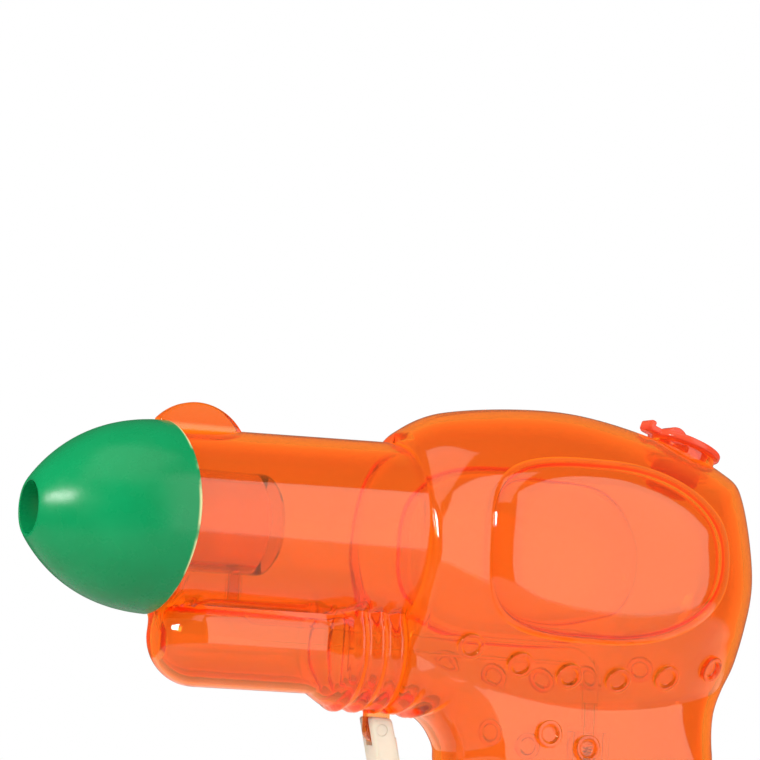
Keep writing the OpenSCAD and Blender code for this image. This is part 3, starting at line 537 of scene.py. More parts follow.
def outlineRows():
    # upper outline: barrel, crown, deck, rear, heel, foot; lower outline: collar, corner, front strap, foot
    tilt = math.radians(s.deckTilt)
    half = array([cos(tilt), -sin(tilt)]) * s.deckLen / 2
    root, crown = array([0, s.barrelR]), array([s.crownRun, s.crownH])
    deck, rear = array([s.deckRun, s.deckH]), array([s.rearRun, -s.rearDrop])
    heel, foot = array([s.heelRun, -s.heelDrop]), array([s.footRear, -s.gripDrop])
    upper = [root + [0, s.lipH], along(root, crown, s.crownMid), crown, deck - half, deck + half,
             along(deck + half, rear, s.rearMid), rear, along(rear, heel, s.heelMid), heel,
             *(along(heel, foot, share) for share in s.gripMid), foot]
    low = s.tubeDrop + s.collarR - s.ribDepth
    f = (np.arange(8) / 7)[:, None]
    first, last = array([0, -low]), array([s.strapRun, -s.strapDrop])
    turn = array([s.cornerRun * s.strapRun, s.cornerLift - low])
    corner = (1 - f) ** 2 * first + 2 * f * (1 - f) * turn + f ** 2 * last
    strap = along(last, array([s.footFront, -s.gripDrop]), s.strapMid)
    return array(upper), vstack([corner, strap])


upperRows, lowerRows = outlineRows()
lastRow = len(upperRows) - 1


def outlineStep(rows, t):
    # an outline's unit direction, from two places close together
    return unit(curveAt(rows, np.minimum(t + 0.01, lastRow)) - curveAt(rows, np.maximum(t - 0.01, 0)))


def placed(p, g):
    # from run and rise to the frame's axes, no lower than the foot
    q = p + array([junctionX, axisZ])
    q[:, 1] = np.maximum(q[:, 1], footZ + g)
    return q


def upperAt(t, g):
    # the upper outline, moved inwards by g
    d = outlineStep(upperRows, t)
    return placed(curveAt(upperRows, t) + g * columns(d[:, 1], -d[:, 0]), g)


def lowerAt(t, g):
    # the lower outline, where the collar's ribs run on under the body as a ripple on the outer skin
    d, p = outlineStep(lowerRows, t), curveAt(lowerRows, t)
    pitch = s.collarLen / s.ribs
    wave = s.ribDepth * (1 - cos(2 * pi * p[:, 0] / pitch)) / 2
    out = g if g > 0 else -where(p[:, 0] > s.ripples * pitch, 0, wave)[:, None]
    return placed(p + out * columns(-d[:, 1], d[:, 0]), g)


def barrelAt(x):
    # the barrel's radius grows evenly from the muzzle to the body
    return mix(s.barrelFrontR, s.barrelR, (x - muzzleX) / s.barrelLen)


def tubeAt(x, g):
    # lower tube: a round tip, a straight run and the ribs of the collar
    inner = s.collarR - s.ribDepth
    ribs = s.collarR - s.ribDepth * (1 + cos(2 * pi * s.ribs * (x - collarX) / s.collarLen)) / 2
    run = mix(s.tubeR, inner, (x - collarX + s.collarRamp) / s.collarRamp) - g
    behind = where(x < collarX, run, (inner if g > 0 else ribs) - g)
    return where(x < tubeMidX, circ(s.tubeR - g, x - tubeMidX), behind)


def barrelLow(x, g):
    # the lowest level: the barrel's at the muzzle, and the tube's from a millimetre behind its tip
    floor = axisZ - barrelAt(x) + g
    return mix(floor, np.minimum(floor, tubeZ - tubeAt(x, g)), x - tipX - g)


def barrelHalf(x, z, g):
    # half width of barrel and lower tube: their two round sections blended, with a thin web where they part
    r = barrelAt(x)
    a = circ(r - g, z - axisZ)
    b = where(x > tipX + g, circ(tubeAt(x, g), z - tubeZ), 0)
    h = s.webHalf - s.webTaper * g
    web = where(z < axisZ - s.webFrom * r, h * edge((z - barrelLow(x, g)) / h, 2), 0)
    return np.maximum((a ** s.blend + b ** s.blend) ** (1 / s.blend), web)


def ridgeZ(x):
    # the level of the ridge: a parabola d^2 / 2R over its lowest place
    return axisZ - s.ridgeDrop + (x - junctionX - s.ridgeRun) ** 2 / (2 * s.ridgeArcR)


def bodyHalf(p, u, l, t, g):
    # half width of body and grip: the swell over the ridge, the rounded outlines, and the lip at the front
    x, z = p[..., 0], p[..., 1]
    side = (s.gripW + (s.bodyW - s.gripW) * swell((z - ridgeZ(x)) / s.ridgeRound)) / 2
    upperRound = mix(s.bodyRound, s.gripRound, (t - s.roundFrom) / s.roundRows) - g
    body = (side - g) * edge(np.linalg.norm(p - u, axis=-1) / upperRound, 2)
    body = body * edge(np.linalg.norm(p - l, axis=-1) / (s.gripRound - g), s.gripPower)
    f = (x - junctionX - g / 2) / s.lipR
    front = barrelHalf(np.full_like(x, junctionX), z, g)
    return where(f >= 1, body, front + (body - front) * edge(f, 2))


def sideAt(x, z):
    # the row through a place is found by halving, and gives the half width there
    p = columns(x, z).reshape(-1, 2)
    low, high = np.zeros(len(p)), np.full(len(p), float(lastRow))
    for _ in range(24):
        t = (low + high) / 2
        u, l = upperAt(t, 0), lowerAt(t, 0)
        d, q = u - l, p - l
        ahead = d[:, 0] * q[:, 1] > d[:, 1] * q[:, 0]
        low, high = where(ahead, low, t), where(ahead, t, high)
    return bodyHalf(p, u, l, t, 0).reshape(np.shape(x))


def skinGrid(g, cols):
    # all sections from the muzzle face to the foot at a depth g: points (row, column, xyz)
    j = (1 - cos(pi * np.arange(cols + 1) / cols)) / 2
    tip = tipX + s.tubeR * (1 - cos(linspace(0, pi / 2, 22)))
    xs = np.r_[muzzleX, tip, linspace(tubeMidX, collarX - s.collarRamp, 12)[1:],
               linspace(collarX - s.collarRamp, collarX, 6)[1:],
               linspace(collarX, junctionX, 16 * s.ribs + 1)[1:]]
    xs = muzzleX + g + (xs - muzzleX) * (s.barrelLen - g) / s.barrelLen
    top, low = axisZ + barrelAt(xs) - g, barrelLow(xs, g)
    z = top[:, None] + (low - top)[:, None] * j
    x = np.broadcast_to(xs[:, None], z.shape)
    barrel = columns(x, -barrelHalf(x, z, g), z)
    lip, foot = s.lipRows, s.footRows
    t = np.r_[lip * linspace(0, 1, 36)[1:] ** s.lipEase, linspace(lip, lastRow - foot, 140)[1:],
              lastRow - foot * cos(linspace(0, pi / 2, 14))[1:]]
    if g > 0:
        t = np.r_[t[t < lastRow - foot], lastRow]
    u, l = upperAt(t, g), lowerAt(t, g)
    p = u[:, None] + (l - u)[:, None] * j[None, :, None]
    half = bodyHalf(p, u[:, None], l[:, None], t[:, None], g)
    if g == 0:
        # the foot's edge rolls in by r - sqrt(r^2 - d^2)
        r = s.footRound
        roll = r - circ(r, np.maximum(0, r - (u[:, 1] - footZ)))
        mid = (p[:, :1] + p[:, -1:]) / 2
        reach = np.linalg.norm(p[:, :1] - mid, axis=-1, keepdims=True)
        p = mid + (p - mid) * (1 - roll[:, None, None] / np.maximum(reach, 1))
        half = half * (1 - roll[:, None] / np.maximum(half.max(1, keepdims=True), 1))
    grid = vstack([barrel, columns(p[..., 0], -half, p[..., 1])])
    if g == 0:
        # a fine groove along the glued seam
        for edgeCol in (0, -1):
            grid[:, edgeCol] += s.groove * unit((grid[:, cols // 2] - grid[:, edgeCol]) * [1, 0, 1])
    grid[:, 1:-1, 1] = np.minimum(grid[:, 1:-1, 1], 0)
    grid[:, [0, -1], 1] = s.seam
    return grid


def halfSolid():
    # outer and inner skin, joined along the seam, with flat walls at the muzzle and the foot
    outer, inner = skinGrid(0, s.outerSides), skinGrid(s.wall, s.innerSides)
    rows, no = outer.shape[:2]
    innerRows, ni = inner.shape[:2]
    pick = np.rint(linspace(0, innerRows - 1, rows)).astype(int)
    points = vstack([outer.reshape(-1, 3), inner.reshape(-1, 3)])
    o = np.arange(rows * no).reshape(-1, no)
    n = rows * no + np.arange(innerRows * ni).reshape(-1, ni)
    faces = [gridFaces(rows, no), gridFaces(innerRows, ni, start=rows * no)]
    for a, b in ((o[:, 0], n[pick, 0]), (o[:, -1], n[pick, -1])):
        strip = columns(a[:-1], a[1:], b[1:], b[:-1])
        faces += [strip[b[1:] != b[:-1]], strip[b[1:] == b[:-1]][:, :3]]
    faces += [o[:1], n[:1], o[-1:], n[-1:]]
    return points, faces + [array([[o[k, 0], n[k, 0], n[k, -1], o[k, -1]] for k in (0, -1)])]


def deckTurn(made):
    # from the filler deck's own axes to the frame's: a turn about Y by the deck's tilt
    p, faces = made
    a = math.radians(s.deckTilt)
    return columns(deckX + p[:, 0] * cos(a) + p[:, 2] * sin(a), p[:, 1],
                   deckZ - p[:, 0] * sin(a) + p[:, 2] * cos(a)), faces


def sightOutline():
    # a round-backed fin: a circle's cap over the barrel, cut straight at the muzzle face
    midX, frontX = muzzleX + s.sightSetback, muzzleX + s.sightGap
    foot = axisZ + barrelAt(midX) - s.wall / 2
    r, midZ = s.sightR, foot + s.wall / 2 + s.sightH - s.sightR
    a = linspace(np.arccos((frontX - midX) / r), np.arcsin((foot - midZ) / r), 60)
    arc = columns(midX + r * cos(a), midZ + r * sin(a))
    down = linspace(arc[-1], [frontX, foot], 12)[1:]
    up = linspace([frontX, foot], arc[0], 8)[1:-1]
    return vstack([arc, down, up])


def sightPlate():
    # the fin's thickness grows downwards by y (top + k (height above - z) / height)
    p, faces = roundedPlate(sightOutline(), s.sightT / 2, -s.sightT / 2, s.sightEdge)
    p[:, 1] *= s.sightTop + s.sightLean * (p[:, 2].max() - p[:, 2]) / s.sightH
    return p, faces


def lugOutline():
    # half a circle round the pivot, closed by a straight line inside the collar
    r = s.earR - s.lugGap
    top = tubeZ - s.collarR + s.ribDepth + s.wall / 2
    a = linspace(0, -pi, 40)
    arc = columns(pivotX + r * cos(a), pivotZ + r * sin(a))
    return vstack([arc, linspace([pivotX - r, top], [pivotX + r, top], 10)])


def podLid(g, depth):
    # rings at shares r of the oval's outline stand on the skin, risen by the rounded border, with a foot below
    rings, sides = s.podGrid
    a = fullTurn(sides)
    power = 2 / where(cos(a) < 0, s.podFront, s.podRear)
    r = np.maximum(s.podCore, 1 - linspace(1, 0, rings)[:, None] ** s.podEase)
    x = junctionX + s.podRun + r * (bulge(cos(a), power) * (s.podLen / 2 - g))
    z = axisZ - s.podDrop + r * (bulge(sin(a), power) * (s.podH / 2 - g))
    skin = sideAt(x, z) - g
    top = skin + s.podRise * edge((1 - r) * (s.podH / 2 - g) / s.podRound, 2) - s.podSink
    rows = vstack([columns(x, -top, z), columns(x, depth - skin, z)[::-1]])
    return rows.reshape(-1, 3), tubeFaces(len(rows), sides)


def studAt(x, z):
    # a low ring with a dished middle, square to the skin, whose slope is measured a step to either side
    step, r, high, dish = 1.5, s.studR, s.studRise, s.studDish
    sides = sideAt(array([x, x + step, x - step, x, x]), array([z, z, z, z + step, z - step]))
    out = unit(array([sides[2] - sides[1], -2 * step, sides[4] - sides[3]]))
    right = unit(np.cross([0, 0, 1.0], out))
    root, (ringR, dishR) = -s.studRoot * s.wall, s.studRing
    p, faces = revolve(eased([(0, root, 0), (r, root, 0), (r, high, 0.3), (ringR * r, high, 0.25),
                              (dishR * r, dish, 0.3), (0, dish, 0)]), 48)
    p = p[:, :1] * right + p[:, 1:2] * np.cross(out, right) + p[:, 2:] * out
    return array([x, -sides[0], z]) + p, faces


def mirrored(piece, name):
    # the other half: Y changes sign and every face is turned round
    mesh = piece.data.copy()
    co = np.empty(len(mesh.vertices) * 3, np.float32)
    mesh.vertices.foreach_get("co", co)
    co = co.reshape(-1, 3) * array([1, -1, 1], np.float32)
    mesh.vertices.foreach_set("co", co.ravel())
    mesh.flip_normals()
    mesh.update()
    other = bpy.data.objects.new(name, mesh)
    scene.collection.objects.link(other)
    return other


def makeShell():
    # one half with its oval and studs, joined to its mirror image, then the sight, rings and holes on the seam
    half = putMesh("shell", *halfSolid())
    outerFoot, innerFoot = s.podFoot
    add(half, podLid(0, outerFoot))
    cut(half, podLid(s.wall, innerFoot))
    xs = junctionX + (s.studFirst + s.studStep * np.arange(s.studs))
    places = [(x, ridgeZ(x) + s.studLift) for x in xs]
    for x, z in places + [(junctionX + x, axisZ + z) for x, z in s.gripStuds]:
        add(half, studAt(x, z))
    combine(half, mirrored(half, "part"), "UNION")
    muzzleRing = ringAround(s.spigotR - s.spigotWall, s.spigotR, 0, s.spigotLen + 1)
    fillerRing = ringAround(s.fillerR - 1, s.fillerR + s.fillerWall, -3, s.fillerRise, 0.5)
    pumpBoss = ringAround(s.pumpR - 1, s.pumpR + s.bossWall, 0, s.bossLen)
    for part in (sightPlate(),
                 roundedPlate(lugOutline(), s.lugT / 2, -s.lugT / 2, s.lugEdge),
                 deckTurn(fillerRing),
                 alongX(pumpBoss, pumpX, pumpZ),
                 alongX(muzzleRing, muzzleX - s.spigotLen, axisZ)):
        add(half, part)
    for part in (alongX(rod(s.sleeveHole, 0, s.spigotLen + 4), muzzleX - s.spigotLen - 1, axisZ),
                 deckTurn(rod(s.fillerR, -6, 6)),
                 alongX(rod(s.pumpR + slide, -s.bossLen, s.bossLen + 2), pumpX, pumpZ),
                 alongY(rod(s.pinR + slide, -s.lugT, s.lugT), pivotX, pivotZ)):
        cut(half, part)
    finishMesh(half, 34)
    return half


shellPiece = makeShell()
settle(shellPiece, ("left_shell", "right_shell"), orangeClear)
print("shell:", sum(len(f.vertices) - 2 for f in shellPiece.data.polygons), "triangles")


# nose cone: a swelling side, a rolled mouth with a floor, and a bore that slides over the barrel's ring
nose = Values(len=26.4, rimR=19.8, tipR=6.0, swell=3.6, wall=2.2, mouthR=5.4, mouthDepth=5.0,
        floor=1.8, jetHole=2.55, land=6.6, bore=14.55, edge=0.25,
        skirt=3.0, skirtR=18.68, skirtTop=0.8, skirtTilt=0.75, skirtSide=2.2, flash=0.36)
noseX = muzzleX - nose.len


def noseSide(f, wall):
    # a straight slope from tip to rim, swollen by 4 h f (1 - f) square to it
    slope = math.atan2(nose.rimR - nose.tipR, nose.len)
    a = 4 * nose.swell * f * (1 - f) - wall
    return columns(mix(nose.tipR, nose.rimR, f) + a * cos(slope), nose.len * f - a * sin(slope))


def makeNose():
    # the profile runs up the side, over the skirt's rim, into the bore, along the inner wall and back through the
    # mouth; with c as the cosine from the top, the skirt's depth is top + tilt c + side (1 - c^2)
    v = nose
    side = noseSide(linspace(0.035, 0.985, 70), 0)
    inner = noseSide(linspace(0.0, 1.0, 60), v.wall)
    deep, end, ledge = v.mouthDepth + v.floor, v.len + v.skirt, v.len - v.land
    inner = inner[(inner[:, 1] > deep + 0.1) & (inner[:, 1] < ledge - 0.1)][::-1]
    rim = eased([(*side[-1], 0), (v.rimR, end - 0.8, 0), (v.rimR, end, 0.35), (v.skirtR, end, 0.3),
                 (v.skirtR, v.len, 0), (v.bore, v.len, 0.2), (v.bore, ledge, 0),
                 (inner[0, 0], ledge, 0)], 5)[1:]
    back = array([[inner[-1, 0], deep], [v.jetHole, deep], [v.jetHole, v.mouthDepth]])
    lip = eased([(v.jetHole + 0.01, v.mouthDepth, 0), (v.mouthR, v.mouthDepth, 0.3),
                 (v.mouthR, 0, v.edge), (v.tipR - 0.1, 0, v.edge), (*side[0], 0)], 7)[:-1]
    p, faces = alongX(revolve(vstack([side, rim, inner, back, lip]), 160), noseX, axisZ)
    r = np.hypot(p[:, 1], p[:, 2] - axisZ)
    c = (p[:, 2] - axisZ) / r
    past = p[:, 0] - muzzleX
    onRim = (past > v.skirt - v.flash) & (r > v.skirtR)
    depth = v.skirtTop + v.skirtTilt * c + v.skirtSide * (1 - c ** 2)
    p[:, 0] = where(past > 0.001, muzzleX + past / v.skirt * depth, p[:, 0])
    cone = putMesh("noseCone", p, faces, 42)
    cone.data.attributes.new("rimLine", "FLOAT", "POINT").data.foreach_set("value", onRim.astype(np.float32))
    return cone


settle(makeNose(), "nose_cone", greenSatin)
print("nose cone ready")


# nozzle: the sleeve in the barrel with its flange and inlet barb, the washer and the jet
nozzle = Values(sleeveR=10.5, neckR=7.5, wall=1.7, run=26.0, flange=1.6, flangeT=1.4, washer=1.0,
          neckGap=1.2, port=7.0, barbR=1.6, barbLen=5.3, barbTeeth=3, toothDepth=0.18, hole=1.0,
          jetR=0.6, jetNoseR=2.5, jetPlug=3.0, jetFloor=1.5)
sleeveFrontX = noseX + nose.mouthDepth + nose.floor + nozzle.neckGap
sleeveEndX = muzzleX + nozzle.run
portX = sleeveEndX - nozzle.port


def barbTeeth(r, length):
    # a short tube's outer side (radius, height) with shallow saw teeth
    h = linspace(0, length, 31)
    return columns(r - nozzle.toothDepth * ((h * nozzle.barbTeeth / length) % 1) * (h < length * 0.97), h)


def makeSleeve():
    # a turned cup with a neck, a flange and a closed end, and a barb below for the tube
    v = nozzle
    flangeX = muzzleX - v.washer - v.flangeT
    a, b, c = flangeX - sleeveFrontX, flangeX + v.flangeT - sleeveFrontX, sleeveEndX - sleeveFrontX
    r, inR, neckIn, wall = v.sleeveR, v.sleeveR - v.wall, v.neckR - v.wall, v.wall
    profile = eased([
        (neckIn, 0, 0.2), (v.neckR, 0, 0.2), (v.neckR, a, 0), (r + v.flange, a, 0.3),
        (r + v.flange, b, 0.3), (r, b, 0), (r, c - wall, 0.8), (inR, c, 0.5), (0.02, c, 0),
        (0.02, c - 2 * wall, 0), (inR, c - 2 * wall, 0.5), (inR, a + wall, 0.3), (neckIn, a + wall, 0)])
    sleeve = putMesh("nozzleSleeve", *alongX(revolve(profile, 128), sleeveFrontX, axisZ))
    length = v.barbLen + 1.0
    barb = vstack([barbTeeth(v.barbR, length), [[v.hole, length], [v.hole, 0]]])
    p, faces = revolve(barb, 48)
    add(sleeve, alongZ((p * [1, 1, -1], faces), portX, axisZ - r + 1.0))
    cut(sleeve, alongZ(rod(v.hole - 0.01, -length, 3), portX, axisZ - r))
    finishMesh(sleeve)
    return sleeve


def makeWasher():
    # a flat ring with softened edges under the flange
    v = nozzle
    inR, outR = v.sleeveR + touch, v.sleeveR + v.flange
    ring = eased([(inR, 0, 0.1), (outR, 0, 0.25), (outR, v.washer, 0.25), (inR, v.washer, 0.1)])
    return putMesh("sleeveSeal", *alongX(revolve(ring), muzzleX - v.washer, axisZ))


def makeJet():
    # a stepped plug with a fine hole, wider inside
    v = nozzle
    reach = sleeveFrontX - noseX - nose.mouthDepth
    wide, end, inner = v.neckR - v.wall - touch, reach + v.jetPlug, v.jetNoseR - 1
    profile = eased([(v.jetR, 0, 0.15), (v.jetNoseR, 0, 0.5), (v.jetNoseR, reach, 0), (wide, reach, 0.2),
                     (wide, end, 0.2), (inner, end, 0.1), (inner, v.jetFloor, 0.2), (v.jetR, v.jetFloor, 0)])
    return putMesh("jetTip", *alongX(revolve(profile, 72), noseX + nose.mouthDepth, axisZ))


settle(makeSleeve(), "nozzle_sleeve", sleeveClear)
settle(makeWasher(), "sleeve_seal", sealRubber)
settle(makeJet(), "jet_tip", ivorySmooth)
print("nozzle ready")


# trigger: a curved finger piece whose forked head turns on the pin
trigger = Values(thick=6.4, len=28.0, deep=5.2, lean=15.0, slot=2.8, power=4.2, edge=0.8,
           set=0.15, bow=1.02, drift=0.32, taper=0.25, tipLead=0.05, slotFoot=0.5, tipPower=0.6,
           head=((-0.4, -6.5, 0), (-2.7, 2.8, 0.9), (2.3, 2.6, 1.0), (4.85, -6.5, 0)))


def spineAt(f):
    # the finger's middle line: down by a share f of its length, leaning back by tan a (1 - k f) and drifting on
    v = trigger
    d = f * v.len
    lean = d * math.tan(math.radians(v.lean)) * (1 - v.bow * f)
    return columns(pivotX + v.set * v.deep + lean + v.drift * v.deep * f, 0 * f, pivotZ - d)


def makeTrigger():
    # superellipse sections |u/a|^n + |w/b|^n = 1 along the spine, closing over the tip like a thumb
    v = trigger
    f = np.r_[0.07, linspace(0.085, 1.0, 60)]
    tip = linspace(0, pi / 2, 16)[1:-1]
    path = spineAt(f)
    reach = v.deep / 2 * (1 - v.taper)
    path = vstack([path, path[-1] + columns(v.tipLead * sin(tip), 0, -reach * sin(tip))])
    size = np.r_[v.deep / 2 * (1 - v.taper * f), reach * cos(tip)]
    wide = np.r_[np.full(len(f), v.thick / 2), v.thick / 2 * cos(tip) ** v.tipPower]
    a = fullTurn(72)
    section = bulge(columns(cos(a), sin(a)), 2 / v.power) * columns(size, wide)[:, None]
    finger = putMesh("trigger", *sweep(path, array([[1.0, 0, 0]]), section))
    add(finger, roundedPlate(eased(v.head) + [pivotX, pivotZ], -v.thick / 2, v.thick / 2, v.edge))
    r, w = 2 * s.earR, v.slot / 2
    h = s.earR + v.slotFoot
    box = array([[x, y, z] for x in (-r, r) for y in (-w, w) for z in (-h, h)]) + [pivotX, 0, pivotZ]
    sides = array([[0, 1, 3, 2], [4, 6, 7, 5], [0, 4, 5, 1], [2, 3, 7, 6], [0, 2, 6, 4], [1, 5, 7, 3]])
    cut(finger, (box, [sides]))
    cut(finger, alongY(rod(s.pinR, -v.thick, v.thick), pivotX, pivotZ))
    finishMesh(finger, 40)
    return finger


def makePin():
    # a short rod with softened ends, as long as the head is thick
    half = trigger.thick / 2 - slide
    profile = eased([(0, -half, 0), (s.pinR, -half, 0.2), (s.pinR, half, 0.2), (0, half, 0)])
    return putMesh("triggerPin", *alongY(revolve(profile, 48), pivotX, pivotZ))


settle(makeTrigger(), "trigger", ivorySmooth, "trigger")
settle(makePin(), "trigger_pin", ivorySmooth, "trigger")
print("trigger ready")


# pump: cylinder with its two valve bosses, gland bush, plunger, seal ring and springs
pump = Values(boreR=5.0, wall=1.5, boreLen=33.0, end=4.0, flange=1.5, glandLen=4.0, rodR=2.0,
        pistonLen=6.0, knobR=3.2, knobLen=3.4, knobDome=2.2, gap=0.3, sealD=1.6, sealSunk=0.8,
        springR=3.6, springWire=0.7, springTurns=9, ballR=1.6, seatR=1.0, chamberR=3.0,
        valveWall=1.5, inletLen=7.5, outletLen=10.5, web=3.0, inletPlay=0.2, outletPlay=0.1,
        plugIn=2.4, fitFlange=1.2, barbLen=5.3, barbR=1.6,
        valveWire=0.4, valveTurns=4, coilR=1.25, coilGap=0.1, stroke=6.8, lift=0.9)
boreX = pumpX + pump.flange
boreEndX = boreX + pump.boreLen
valveX = boreEndX - pump.boreR
valveR = pump.chamberR + pump.valveWall
inletTop = pumpZ - pump.boreR - pump.web
inletFoot = pumpZ - pump.boreR - pump.inletLen - pump.wall
outletFloor = pumpZ + pump.boreR + pump.web
outletTop = pumpZ + pump.boreR + pump.outletLen + pump.wall


def makeCylinder():
    # a turned body and two upright bosses, bored along the rod and down through both valve chambers
    v = pump
    outR, end = v.boreR + v.wall, v.boreLen + v.end
    profile = eased([(0, 0, 0), (outR, 0, 0.3), (outR, end, 0.8), (0, end, 0)])
    body = putMesh("pumpCylinder", *alongX(revolve(profile), boreX, pumpZ))
    for low, high in ((inletFoot, pumpZ), (pumpZ, outletTop)):
        add(body, alongZ(rod(valveR, low, high), valveX, 0))
    cut(body, alongX(rod(v.boreR, -1, v.boreLen), boreX, pumpZ))
    for r, low, high in ((v.chamberR, inletFoot - 1, inletTop), (v.seatR + v.inletPlay, inletTop - 1, pumpZ),
                         (v.seatR + v.outletPlay, pumpZ, outletFloor + 1),
                         (v.chamberR, outletFloor, outletTop + 1)):
        cut(body, alongZ(rod(r, low, high), valveX, 0))
    finishMesh(body)
    return body


def makeGland():
    # a flanged bush with the rod's hole
    v = pump
    outR, fitR, hole, end = v.boreR + v.wall, v.boreR - slide, v.rodR + slide, v.flange + v.glandLen
    profile = eased([(hole, 0, 0.3), (outR, 0, 0.3), (outR, v.flange, 0), (fitR, v.flange, 0),
                     (fitR, end, 0.3), (hole, end, 0.2)])
    return putMesh("pumpGland", *alongX(revolve(profile), pumpX, pumpZ))


share = s.pumpDrop / trigger.len
fingerBack = trigger.deep / 2 * (1 - trigger.taper * share)
knobX = spineAt(array([share]))[0, 0] + fingerBack + pump.gap
pistonX = boreX + pump.glandLen + pump.gap
grooveR = pump.boreR - slide - pump.sealSunk * pump.sealD
sealX = pistonX + pump.pistonLen / 2


def makePlunger():
    # a domed knob, the rod and the grooved piston as one turned profile
    v = pump
    dome = v.knobDome * v.knobR
    r = linspace(0, v.knobR, 12)
    cap = columns(r, dome - circ(dome, r))
    at, seal, full, half = pistonX - knobX, sealX - knobX, v.boreR - slide, v.sealD / 2
    rest = eased([(*cap[-1], 0), (v.knobR, v.knobLen, 0.4), (v.rodR, v.knobLen, 0.3),
                  (v.rodR, at, 0.2), (full, at, 0.2), (full, seal - half, 0.1), (grooveR, seal - half, 0),
                  (grooveR, seal + half, 0), (full, seal + half, 0.1), (full, at + v.pistonLen, 0.3),
                  (0, at + v.pistonLen, 0)])
    return putMesh("plunger", *alongX(revolve(vstack([cap, rest[1:]])), knobX, pumpZ))


def makePistonSeal():
    # a ring whose section is a rounded square in the piston's groove
    a = fullTurn(24)
    mid, deep = (grooveR + pump.boreR) / 2, (pump.boreR - grooveR) / 2 - touch
    profile = columns(mid + deep * bulge(cos(a), 0.6), (pump.sealD / 2 - touch) * bulge(sin(a), 0.6))
    return putMesh("plungerSeal", *alongX(revolve(profile), sealX, pumpZ))


def coil(r, wire, turns, high):
    # a wire of round section on the helix (r cos a, r sin a, wire + k a), with straight ends
    a = linspace(0, 2 * pi * turns, 40 * turns + 1)
    path = columns(r * cos(a), r * sin(a), wire + (high - 2 * wire) * a / a[-1])
    b = fullTurn(12)
    return sweep(path, columns(cos(a), sin(a), 0), columns(cos(b), sin(b))[None] * wire / 2)


springX = pistonX + pump.pistonLen + touch
outletBallZ = outletFloor + circ(pump.ballR, pump.seatR + pump.outletPlay) + slide
inletBallZ = inletFoot + pump.plugIn + circ(pump.ballR, pump.seatR) + slide
valveSpringZ = outletBallZ + circ(pump.ballR, pump.coilR - pump.valveWire / 2) + pump.coilGap
valveSpringTop = outletTop - pump.plugIn - touch


def makeFitting(name, z, way):
    # a flanged plug with a toothed barb and a hole through it, upright or turned over
    v = pump
    fitR = v.chamberR - slide
    out = barbTeeth(v.barbR, v.barbLen) * [1, -1] - [0, v.fitFlange]
    top = eased([(v.seatR, v.plugIn, 0), (fitR, v.plugIn, 0.25), (fitR, 0, 0), (valveR, 0, 0.1),
                 (valveR, -v.fitFlange, 0.2), (v.barbR, -v.fitFlange, 0)])
    p, faces = revolve(vstack([top, out[1:], [[v.seatR, out[-1, 1]]]]), 72)
    return putMesh(name, *alongZ((p * [1, 1, way], faces), valveX, z))


def makeBall(name, z):
    # half a circle turned about the upright axis
    a = linspace(-pi / 2, pi / 2, 40)
    profile = pump.ballR * columns(cos(a), sin(a))
    profile[[0, -1], 0] = 0
    return putMesh(name, *alongZ(revolve(profile, 64), valveX, z))


settle(makeCylinder(), "pump_cylinder", milkyPlastic)
settle(makeGland(), "pump_gland", ivorySmooth)
settle(makePlunger(), "plunger", ivorySmooth, "plunger")
settle(makePistonSeal(), "plunger_seal", sealRubber, "plunger")
settle(makeFitting("inletFitting", inletFoot, 1), "inlet_fitting", milkyPlastic)
settle(makeFitting("outletFitting", outletTop, -1), "outlet_fitting", milkyPlastic)
settle(makeBall("inletBall", inletBallZ), "inlet_ball", brightWire, "inlet_ball")
settle(makeBall("outletBall", outletBallZ), "outlet_ball", brightWire, "outlet_ball")
coiled = coil(pump.springR, pump.springWire, pump.springTurns, boreEndX - touch - springX)
returnSpring = putMesh("returnSpring", *alongX(coiled, springX, pumpZ))
coiled = coil(pump.coilR, pump.valveWire, pump.valveTurns, valveSpringTop - valveSpringZ)
outletSpring = putMesh("outletSpring", *alongZ(coiled, valveX, valveSpringZ))
settle(returnSpring, "return_spring", brightWire)
settle(outletSpring, "outlet_spring", brightWire)
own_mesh(returnSpring)
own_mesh(outletSpring)
print("pump ready")


# soft tubes: a round wall carried along the route from valve to sleeve, and down to the foot of the grip
hoses = Values(r=2.3, bore=1.62, bend=6.0, drop=22.0, dipGap=2.0, topGap=0.4, sides=36)


def hoseWall(flat):
    # along a route (x, z) on the seam an outer skin and a bore run side by side, joined at both ends
    path, sides = columns(flat[:, 0], 0, flat[:, 1]), hoses.sides
    a = fullTurn(sides)
    ring, across = columns(cos(a), sin(a))[None], array([[0, 1.0, 0]])
    outer, faces = sweep(path, across, ring * hoses.r)
    bore, _ = sweep(path, across, ring * hoses.bore)
    n, first = len(outer), np.arange(sides)
    ends = [columns(e, np.roll(e, -1), np.roll(e, -1) + n, e + n) for e in (first, first + n - sides)]
    return vstack([outer, bore]), [faces[0], faces[0] + n] + ends


def makeDelivery():
    # up from the valve, a quarter turn, forward under the barrel, a quarter turn, up to the sleeve's barb
    b, runZ = hoses.bend, axisZ - hoses.drop
    foot, top = outletTop + pump.fitFlange + touch, axisZ - nozzle.sleeveR - hoses.topGap
    a = linspace(0, pi / 2, 22)
    rise = columns(valveX, linspace(foot, runZ - b, 16))
    turn = columns(valveX - b + b * cos(a), runZ - b + b * sin(a))
    run = columns(linspace(valveX - b, portX + b, 50), runZ)
    lift = columns(portX + b - b * sin(a), runZ + b - b * cos(a))
    end = columns(portX, linspace(runZ + b, top, 8))
    return putMesh("deliveryTube", *hoseWall(vstack([rise, turn[1:], run[1:], lift[1:], end[1:]])))


